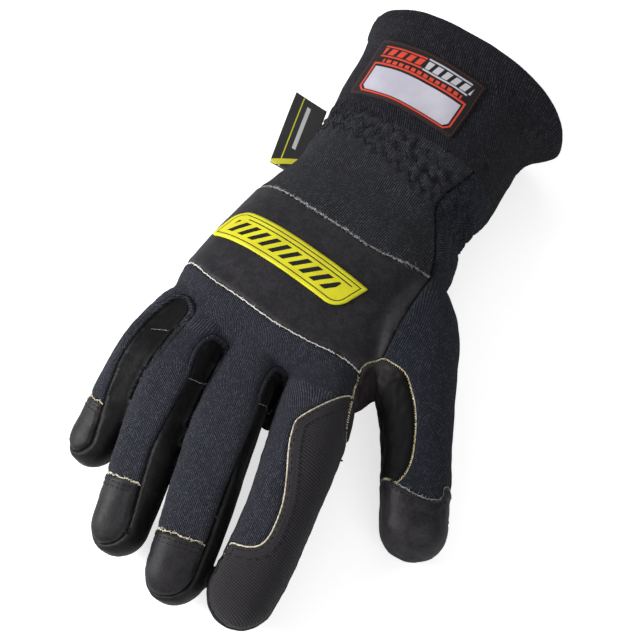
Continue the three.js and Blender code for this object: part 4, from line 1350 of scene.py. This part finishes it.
# seam threads: the seams each one sews, with the strands laid along them
bandStrand = {"lift": 0.25, "shift": 0.1, "wander": 0.35, "uneven": 0.5, "fibres": 0.9, "fibreLength": 1.3,
              "fibreRadius": 0.3}
rearStrand = dict(bandStrand, uneven=1.0, fibres=1.0)
capStrand = {"lift": 0.4, "shift": 0.15, "wander": 0.8, "uneven": 0.9, "fibres": 1.0, "fibreLength": 1.9,
             "fibreRadius": 0.4}
cord = {"lift": 0.3, "shift": 0.0, "wander": 0.05, "uneven": 0.1, "fibres": 0.05, "fibreLength": 1.0,
        "fibreRadius": 0.3}
loops = {"inside": 0.6, "outside": 0.55, "lift": 0.1, "height": 0.45, "slant": 0.35}
capNames = ["capLittle", "capRing", "capMiddle"]
seamRows = [
    {"called": "bandFrontSeam", "thread": "whiteThread", "radius": 0.26, "spacing": 0.35, "sew": frayedSeam,
     "seams": [("knuckleBand", "fingerBack", [bandStrand])]},
    {"called": "bandRearSeam", "thread": "greyThread", "radius": 0.28, "spacing": 0.3, "sew": frayedSeam,
     "seams": [("knuckleBand", "wristBack", [dict(rearStrand, lift=0.45, shift=-0.3, wander=0.8, fibreLength=2.2),
                                             dict(rearStrand, lift=0.35, shift=-0.9, wander=1.2, fibreLength=1.8)])]},
    {"called": "capSeams", "thread": "creamThread", "radius": 0.24, "spacing": 0.35, "sew": frayedSeam,
     "seams": [(name, "fingerBack", [capStrand]) for name in capNames] + [("indexPanel", "capMiddle", [capStrand])]},
    {"called": "indexCord", "thread": "creamThread", "radius": 0.32, "sides": 2, "spacing": 0.5, "sew": frayedSeam,
     "seams": [("indexPanel", "fingerBack", [cord])]},
    {"called": "webOverlock", "thread": "yellowThread", "radius": 0.18, "spacing": 0.95, "sew": overlockSeam,
     "seams": [("webPatch", "indexPanel", [dict(loops, inside=1.2, outside=0.6)]),
               ("webPatch", "fingerBack", [dict(loops, inside=1.0, outside=0.55)]),
               ("webPatch", "knuckleBand", [dict(loops, inside=0.3, outside=0.4)]),
               ("webPatch", "thumbSide", [dict(loops, inside=0.25, outside=0.35)]),
               ("thumbCap", "webPatch", [loops])]},
    {"called": "thumbCapSeam", "thread": "greyThread", "radius": 0.2, "spacing": 0.4, "sew": frayedSeam,
     "seams": [("thumbCap", "thumbSide", [dict(capStrand, wander=0.6)])]},
]
for row in seamRows:
    threads = newThreads(row["radius"], row.get("sides", 1))
    for first, second, strands in row["seams"]:
        for path in seamPaths(skin, labels, first, second, row["spacing"]):
            for strand in strands:
                row["sew"](threads, path, strand)
    finished(row["called"], threadsToMesh(threads), materials[row["thread"]])

# single stitches that close the slits' ends, each from one place in plan to another
tackEnds = [((-54.5, -41.5), (-48.0, -39.0)), ((-30.0, -54.5), (-24.5, -51.5)), ((-0.5, -51.5), (1.5, -45.0))]
tacks = newThreads(0.2)
for ends in tackEnds:
    places = [skinTree.ray_cast(Vector((*p, 200.0)), Vector((0, 0, -1))) for p in np.linspace(*ends, 12)]
    strand = [place + up * 0.25 + Vector((0, random.uniform(-0.25, 0.25), 0)) for place, up, _, _ in places if place]
    addStrand(tacks, strand, [random.uniform(0.5, 1.0) for _ in strand])
finished("slitTacks", threadsToMesh(tacks), materials["greyThread"])
print("seam threads laid")

# rows of dark topstitching, each at its distances from the seam
topStitch = {"pitch": 2.2, "length": 1.9, "radius": 0.24, "lift": 0.02}
topRows = [(name, "fingerBack", (2.4, 4.4)) for name in capNames]
topRows += [("thumbCap", "thumbSide", (2.4,)), ("indexPanel", "fingerBack", (1.6, 4.6))]
stitches = bmesh.new()
for first, second, distances in topRows:
    for path in seamPaths(skin, labels, first, second, 0.3):
        for away in distances:
            stitchRow(stitches, skinTree, path, dict(topStitch, away=away))
finished("topStitching", meshFrom(stitches, "topStitching"), materials["blackThread"])
print("topstitching sewn")

# zigzag threads: three rows over the elastic and one in the hem
elasticRadius, hemRadius, clearance = 0.34, 0.22, 0.1


def zigzagRow(curve, placeOf, phase):
    # a strand that follows a zigzag right round the wrist
    ring = []
    for lap in np.linspace(0, 2 * math.pi, 900, endpoint=False):
        side, rise = math.sin(lap), math.cos(lap)
        found = None
        for _ in range(3):
            y = placeOf(found)
            x, _, top, yaw = [float(v[0]) for v in handAt(np.array([y]))]
            place, up, _, _ = skinTree.ray_cast(Vector((x, y, top * 0.4)), Vector((side, -side * math.tan(yaw), rise)))
            if place is None:
                break
            u = float(roundHand(np.array([place[:]]))[0])
            found = (place, up, float(zigzagAt(np.array([u + phase]))[0]))
        if place is not None:
            ring.append(place + up * clearance)
            ring[-1].z = max(ring[-1].z, elasticRadius + clearance)
    ring.append(ring[0])
    addStrand(curve, ring, np.full(len(ring), 1.0))


def elasticRow(row):
    def placeOf(found):
        if found is None:
            return elasticY + row
        return found[0].y - float(fromElastic(found[0].x, found[0].y)) + row + found[2]
    return placeOf


def hemRow(found):
    if found is None:
        return rimY - hem["zigzagAt"]
    place, _, reach = found
    aside = place.x - float(handAt(np.array([rimY]))[0][0])
    return rimY - hem["zigzagAt"] / math.cos(rimYaw) - aside * math.tan(rimYaw) - hem["zigzag"] * reach


elasticThreads = newThreads(elasticRadius)
for row in elastic["rows"]:
    zigzagRow(elasticThreads, elasticRow(row), row)
finished("elasticStitching", threadsToMesh(elasticThreads), materials["blackThread"])
hemThreads = newThreads(hemRadius)
zigzagRow(hemThreads, hemRow, 0.0)
finished("hemStitching", threadsToMesh(hemThreads), materials["blackThread"])
print("zigzag stitching sewn")


def onSkin(x, y, lift):
    # the outside of the glove's back over a place in plan
    place, up, _, _ = skinTree.ray_cast(Vector((x, y, 200.0)), Vector((0, 0, -1)))
    return place + up * lift if place else None


badge = {"centre": (-20.75, 11.77), "length": 67.0, "width": 16.0, "slant": 4.0, "turn": 12.0, "thick": 0.9,
         "corners": (2.0, 6.5, 0.8, 6.0), "edge": 0.35}
nameLabel = {"centre": (-8.2, 109.05), "length": 53.0, "width": 27.0, "slant": 0.0, "turn": 9.0, "thick": 0.7,
             "corners": (1.5, 1.5, 1.5, 1.5), "edge": 0.25}
sideTag = {"centre": (-46.6, 83.4), "reach": 17.0, "length": 40.0, "turn": -10.0, "level": 18.9, "thick": 0.28,
           "fold": 0.55, "curl": 1.2}


def roundedCorner(u, v, halfU, halfV, corners):
    # moves a point of a plain rectangle into one with rounded corners: front left, rear left, rear right, front right
    r = corners[(0 if v < 0 else 1) if u < 0 else (3 if v < 0 else 2)]
    du, dv = abs(u) - (halfU - r), abs(v) - (halfV - r)
    if du > 0 and dv > 0:
        share = max(du, dv) / math.hypot(du, dv)
        return math.copysign(halfU - r + du * share, u), math.copysign(halfV - r + dv * share, v)
    return u, v


def patchOn(style, step=0.75):
    # a flat patch laid over the glove, with its own coordinates in mm and the distance to its edge
    across, along = int(style["length"] / step), int(style["width"] / step)
    bm = bmesh.new()
    bmesh.ops.create_grid(bm, x_segments=across, y_segments=along, size=0.5)
    printed = bm.loops.layers.uv.new("print")
    edge = bm.verts.layers.float.new("edge")
    turn = math.radians(style["turn"])
    halfU, halfV = style["length"] / 2, style["width"] / 2
    flat = {}
    for v in bm.verts:
        square = (v.co.x * style["length"], v.co.y * style["width"])
        a, b = roundedCorner(square[0], square[1], halfU, halfV, style["corners"])
        flat[v] = (a, b)
        v[edge] = min(halfU - abs(square[0]), halfV - abs(square[1]))
        a += style["slant"] * b / style["width"]
        x = style["centre"][0] + a * math.cos(turn) + b * math.sin(turn)
        y = style["centre"][1] - a * math.sin(turn) + b * math.cos(turn)
        v.co = onSkin(x, y, 0.15)
    for _ in range(12):
        bmesh.ops.smooth_vert(bm, verts=bm.verts, factor=0.5, use_axis_z=True, use_axis_x=False, use_axis_y=False)
    bm.normal_update()
    for v in bm.verts:
        low = onSkin(v.co.x, v.co.y, 0.1)
        v.co.z = max(v.co.z, low.z)
    for face in bm.faces:
        for loop in face.loops:
            loop[printed].uv = flat[loop.vert]
    bmesh.ops.recalc_face_normals(bm, faces=bm.faces)
    if sum(f.normal.z for f in bm.faces) < 0:
        bmesh.ops.reverse_faces(bm, faces=bm.faces)
    bm.normal_update()
    for v in bm.verts:
        v.co += v.normal * (style["thick"] - style["edge"] * math.exp(-v[edge] / 0.35))
    return meshFrom(bm, "patch")


def printParts(tree):
    split = addNode(tree, "ShaderNodeSeparateXYZ", {0: addNode(tree, "ShaderNodeUVMap", uv_map="print").outputs[0]})
    return split.outputs[0], split.outputs[1]


def badgeMaterial():
    material, tree, shader, place = newMaterial("badgeRubber")
    u, v = printParts(tree)
    outline = barMask(tree, attributeOf(tree, "edge"), 2.0, 0.22)
    inner = boxMask(tree, u, v, (2.0, 4.1), (27.0, 0.25))
    # slanted bars in place of lettering
    leaning = maths(tree, "MULTIPLY_ADD", v, -0.6, u)
    phase = awayFrom(tree, withinCell(tree, leaning, 5.4), 0.5)
    bars = times(tree, between(tree, phase, 0.27, 0.24), boxMask(tree, u, v, (-1.5, -0.8), (27.0, 3.2)))
    ink = highest(tree, outline, inner, bars)
    fine, dust = noiseOf(tree, place, 700.0, 4.0), noiseOf(tree, place, 90.0, 3.0)
    yellow = blendColours(tree, between(tree, dust, 0.3, 0.75), colourOf(246, 242, 44), colourOf(232, 224, 34))
    tone = blendColours(tree, ink, yellow, colourOf(24, 24, 22))
    height = maths(tree, "MULTIPLY_ADD", fine, 0.15, times(tree, ink, -1.0))
    setShader(tree, shader, tone, between(tree, fine, 0.2, 0.8, 0.42, 0.6), bump(tree, height, 0.6, 0.0003),
              Specular_IOR_Level=0.4)
    return material


# the frame round the write-on panel, as boxes with their front corners cut off
writeOnFrame = [
    {"centre": (-0.05, -4.9), "half": (21.6, 5.6), "cut": 30.4},
    {"centre": (-0.05, -4.6), "half": (23.2, 7.1), "cut": 32.6},
    {"centre": (-0.05, -4.6), "half": (22.4, 6.3), "cut": 31.6},
]
redLines = [((-12.2, 10.3), (10.4, 0.35)), ((-12.2, 5.7), (10.4, 0.35))]
paleLines = [((10.0, 10.6), (11.0, 0.35)), ((10.0, 5.6), (11.4, 0.35))]


def labelMaterial():
    material, tree, shader, place = newMaterial("wovenLabel")
    u, v = printParts(tree)
    edge = attributeOf(tree, "edge")
    weave = times(tree, wave(tree, u, 0.45), wave(tree, v, 0.6))
    corner = maths(tree, "ADD", maths(tree, "ABSOLUTE", maths(tree, "ADD", u, 0.05)), times(tree, v, -1.0))
    panel, outside, within = [times(tree, boxMask(tree, u, v, box["centre"], box["half"]),
                                    between(tree, corner, box["cut"], box["cut"] - 0.2)) for box in writeOnFrame]
    frameLine = maths(tree, "SUBTRACT", outside, within, clamp=True)
    leaning = maths(tree, "MULTIPLY_ADD", v, -0.35, u)
    bars = between(tree, awayFrom(tree, withinCell(tree, leaning, 4.6), 0.5), 0.33, 0.3)
    dashes = between(tree, awayFrom(tree, withinCell(tree, u, 3.1), 0.5), 0.36, 0.31)
    redRows = [times(tree, boxMask(tree, u, v, (-12.2, 8.0), (10.0, 1.5)), bars),
               times(tree, boxMask(tree, u, v, (0.0, 3.6), (20.0, 0.75)), dashes)]
    red = highest(tree, frameLine, *redRows, *[boxMask(tree, u, v, *line) for line in redLines])
    paleRow = times(tree, boxMask(tree, u, v, (11.0, 8.0), (11.6, 1.7)), bars)
    pale = highest(tree, paleRow, *[boxMask(tree, u, v, *line) for line in paleLines])
    slanted = between(tree, withinCell(tree, maths(tree, "ADD", u, v), 1.6), 0.25, 0.35)
    stitched = times(tree, barMask(tree, edge, 1.0, 0.22), slanted, 0.6)
    soft = noiseOf(tree, place, 60.0, 4.0)
    paper = blendColours(tree, between(tree, soft, 0.3, 0.7), colourOf(196, 192, 208), colourOf(216, 214, 224))
    paper = blendColours(tree, times(tree, weave, 0.12), paper, colourOf(160, 156, 170))
    ground = blendColours(tree, weave, colourOf(14, 13, 15), colourOf(31, 28, 31))
    tone = shareInto(tree, ground, [(stitched, colourOf(120, 44, 40)), (red, colourOf(226, 74, 52)),
                                    (pale, colourOf(205, 202, 210)), (panel, paper)])
    height = maths(tree, "MULTIPLY_ADD", weave, 0.5, times(tree, between(tree, edge, 1.0, 2.0), 0.6))
    setShader(tree, shader, tone, between(tree, weave, 0.0, 1.0, 0.62, 0.8), bump(tree, height, 0.35, 0.0003),
              Specular_IOR_Level=0.3, Sheen_Weight=0.1)
    return material


def tagMaterial():
    material, tree, shader, place = newMaterial("satinTag")
    u, v = printParts(tree)
    soft = noiseOf(tree, place, 50.0, 3.0)
    ground = blendColours(tree, between(tree, soft, 0.3, 0.7), colourOf(18, 18, 19), colourOf(34, 34, 37))
    leaning = maths(tree, "MULTIPLY_ADD", u, 0.55, v)
    yellow = highest(tree, barMask(tree, leaning, -10.5, 1.5), barMask(tree, u, 12.6, 0.28))
    white = times(tree, barMask(tree, u, 8.6, 1.0), between(tree, awayFrom(tree, v, 4.0), 12.2, 12.0))
    tone = shareInto(tree, ground, [(yellow, colourOf(222, 216, 40)), (white, colourOf(205, 205, 205))])
    woven = bump(tree, wave(tree, v, 0.4), 0.25, 0.0002)
    setShader(tree, shader, tone, between(tree, soft, 0.2, 0.8, 0.38, 0.55), woven, Specular_IOR_Level=0.45,
              Sheen_Weight=0.15)
    return material


finished("rubberBadge", patchOn(badge), badgeMaterial(), ["badge"], badge["thick"])
finished("nameLabel", patchOn(nameLabel), labelMaterial(), ["name_label"], nameLabel["thick"])
print("badge and label laid on")


def folded(a, b):
    # a ribbon folded back on itself; a runs round the fold, b along it, both from 0 to 1
    reach = sideTag["reach"]
    if a < 0.46:
        out, rise = a / 0.46 * reach, 1.0
    elif a < 0.54:
        bend = (a - 0.46) / 0.08 * math.pi
        out, rise = reach + math.sin(bend) * sideTag["fold"], math.cos(bend)
    else:
        out, rise = (1 - a) / 0.46 * reach, -1.0
    gap = sideTag["fold"] * (0.75 + 0.25 * math.sin(min(out / reach, 1) * math.pi))
    return out, (b - 0.5) * sideTag["length"], rise * gap


def makeTag():
    bm = bmesh.new()
    bmesh.ops.create_grid(bm, x_segments=64, y_segments=36, size=0.5)
    printed = bm.loops.layers.uv.new("print")
    turn = math.radians(sideTag["turn"])
    spot = {}
    for v in bm.verts:
        a, b = v.co.x + 0.5, v.co.y + 0.5
        out, along, rise = folded(a, b)
        curl = sideTag["curl"] * (out / sideTag["reach"]) ** 2 * math.sin((b - 0.25) * 2.6)
        spot[v] = (out if a < 0.5 else -out, along)
        # outwards is away from the hand, towards -x
        x = sideTag["centre"][0] + 1.0 - out * math.cos(turn) + along * math.sin(turn)
        y = sideTag["centre"][1] - out * math.sin(turn) + along * math.cos(turn)
        v.co = (x, y, sideTag["level"] + rise + curl)
    for face in bm.faces:
        for loop in face.loops:
            loop[printed].uv = spot[loop.vert]
    bmesh.ops.recalc_face_normals(bm, faces=bm.faces)
    top = max(bm.faces, key=lambda f: f.calc_center_median().z)
    if top.normal.z < 0:
        bmesh.ops.reverse_faces(bm, faces=bm.faces)
    return meshFrom(bm, "sideTag")


finished("sideTag", makeTag(), tagMaterial(), ["side_tag"], sideTag["thick"])
print("tag folded")

# studio: floor, lights and the camera at the photograph's angle
studio = {"world": 0.2, "floorGlow": 0.67, "lightsAim": (0, 0, 0.02)}
lights = [
    {"called": "keyLight", "energy": 7.0, "size": 0.4, "place": (-0.66, -0.36, 0.42)},
    {"called": "fillLight", "energy": 1.9, "size": 0.6, "place": (0.5, -0.5, 0.6)},
    {"called": "backLight", "energy": 1.0, "size": 0.6, "place": (-0.2, 0.7, 0.6)},
]
view = {"azimuth": 27, "elevation": 60, "away": 0.55, "target": (0, 0, 0.025), "lens": 74.81, "clip": 0.01}


def floorMaterial():
    material, tree, shader, place = newMaterial("paperFloor")
    fibres = noiseOf(tree, place, 300.0, 3.0)
    tone = blendColours(tree, fibres, (0.93, 0.93, 0.935, 1), (0.96, 0.96, 0.96, 1))
    setShader(tree, shader, tone, between(tree, fibres, 0.2, 0.8, 0.88, 0.95), Specular_IOR_Level=0.1)
    # the paper is lit from behind for the camera, so that shadows on it stay pale
    seen = addNode(tree, "ShaderNodeLightPath").outputs["Is Camera Ray"]
    tree.links.new(maths(tree, "MULTIPLY", seen, studio["floorGlow"]), shader.inputs["Emission Strength"])
    shader.inputs["Emission Color"].default_value = (1, 1, 1, 1)
    return material


bm = bmesh.new()
bmesh.ops.create_grid(bm, x_segments=8, y_segments=8, size=3.0)
floor = linked("floor", meshFrom(bm, "floor"))
floor.data.materials.append(floorMaterial())


def placed(called, data, place, way):
    # a light or camera that looks along a way
    piece = linked(called, data)
    piece.location = place
    piece.rotation_euler = way.to_track_quat("-Z", "Y").to_euler()
    return piece


for light in lights:
    data = bpy.data.lights.new(light["called"], "AREA")
    data.energy, data.size, data.shape = light["energy"], light["size"], "SQUARE"
    placed(light["called"], data, light["place"], Vector(studio["lightsAim"]) - Vector(light["place"]))
world = bpy.data.worlds.new("studio")
world.use_nodes = True
world.node_tree.nodes["Background"].inputs[0].default_value = (1.0, 1.0, 1.0, 1.0)
world.node_tree.nodes["Background"].inputs[1].default_value = studio["world"]
bpy.context.scene.world = world
bpy.context.scene.view_settings.view_transform = "Standard"

cameraData = bpy.data.cameras.new("camera")
cameraData.lens = view["lens"]
cameraData.clip_start = view["clip"]
azimuth, elevation = math.radians(view["azimuth"]), math.radians(view["elevation"])
level = math.cos(elevation)
offset = Vector((math.sin(azimuth) * level, -math.cos(azimuth) * level, math.sin(elevation)))
bpy.context.scene.camera = placed("camera", cameraData, Vector(view["target"]) + offset * view["away"], -offset)
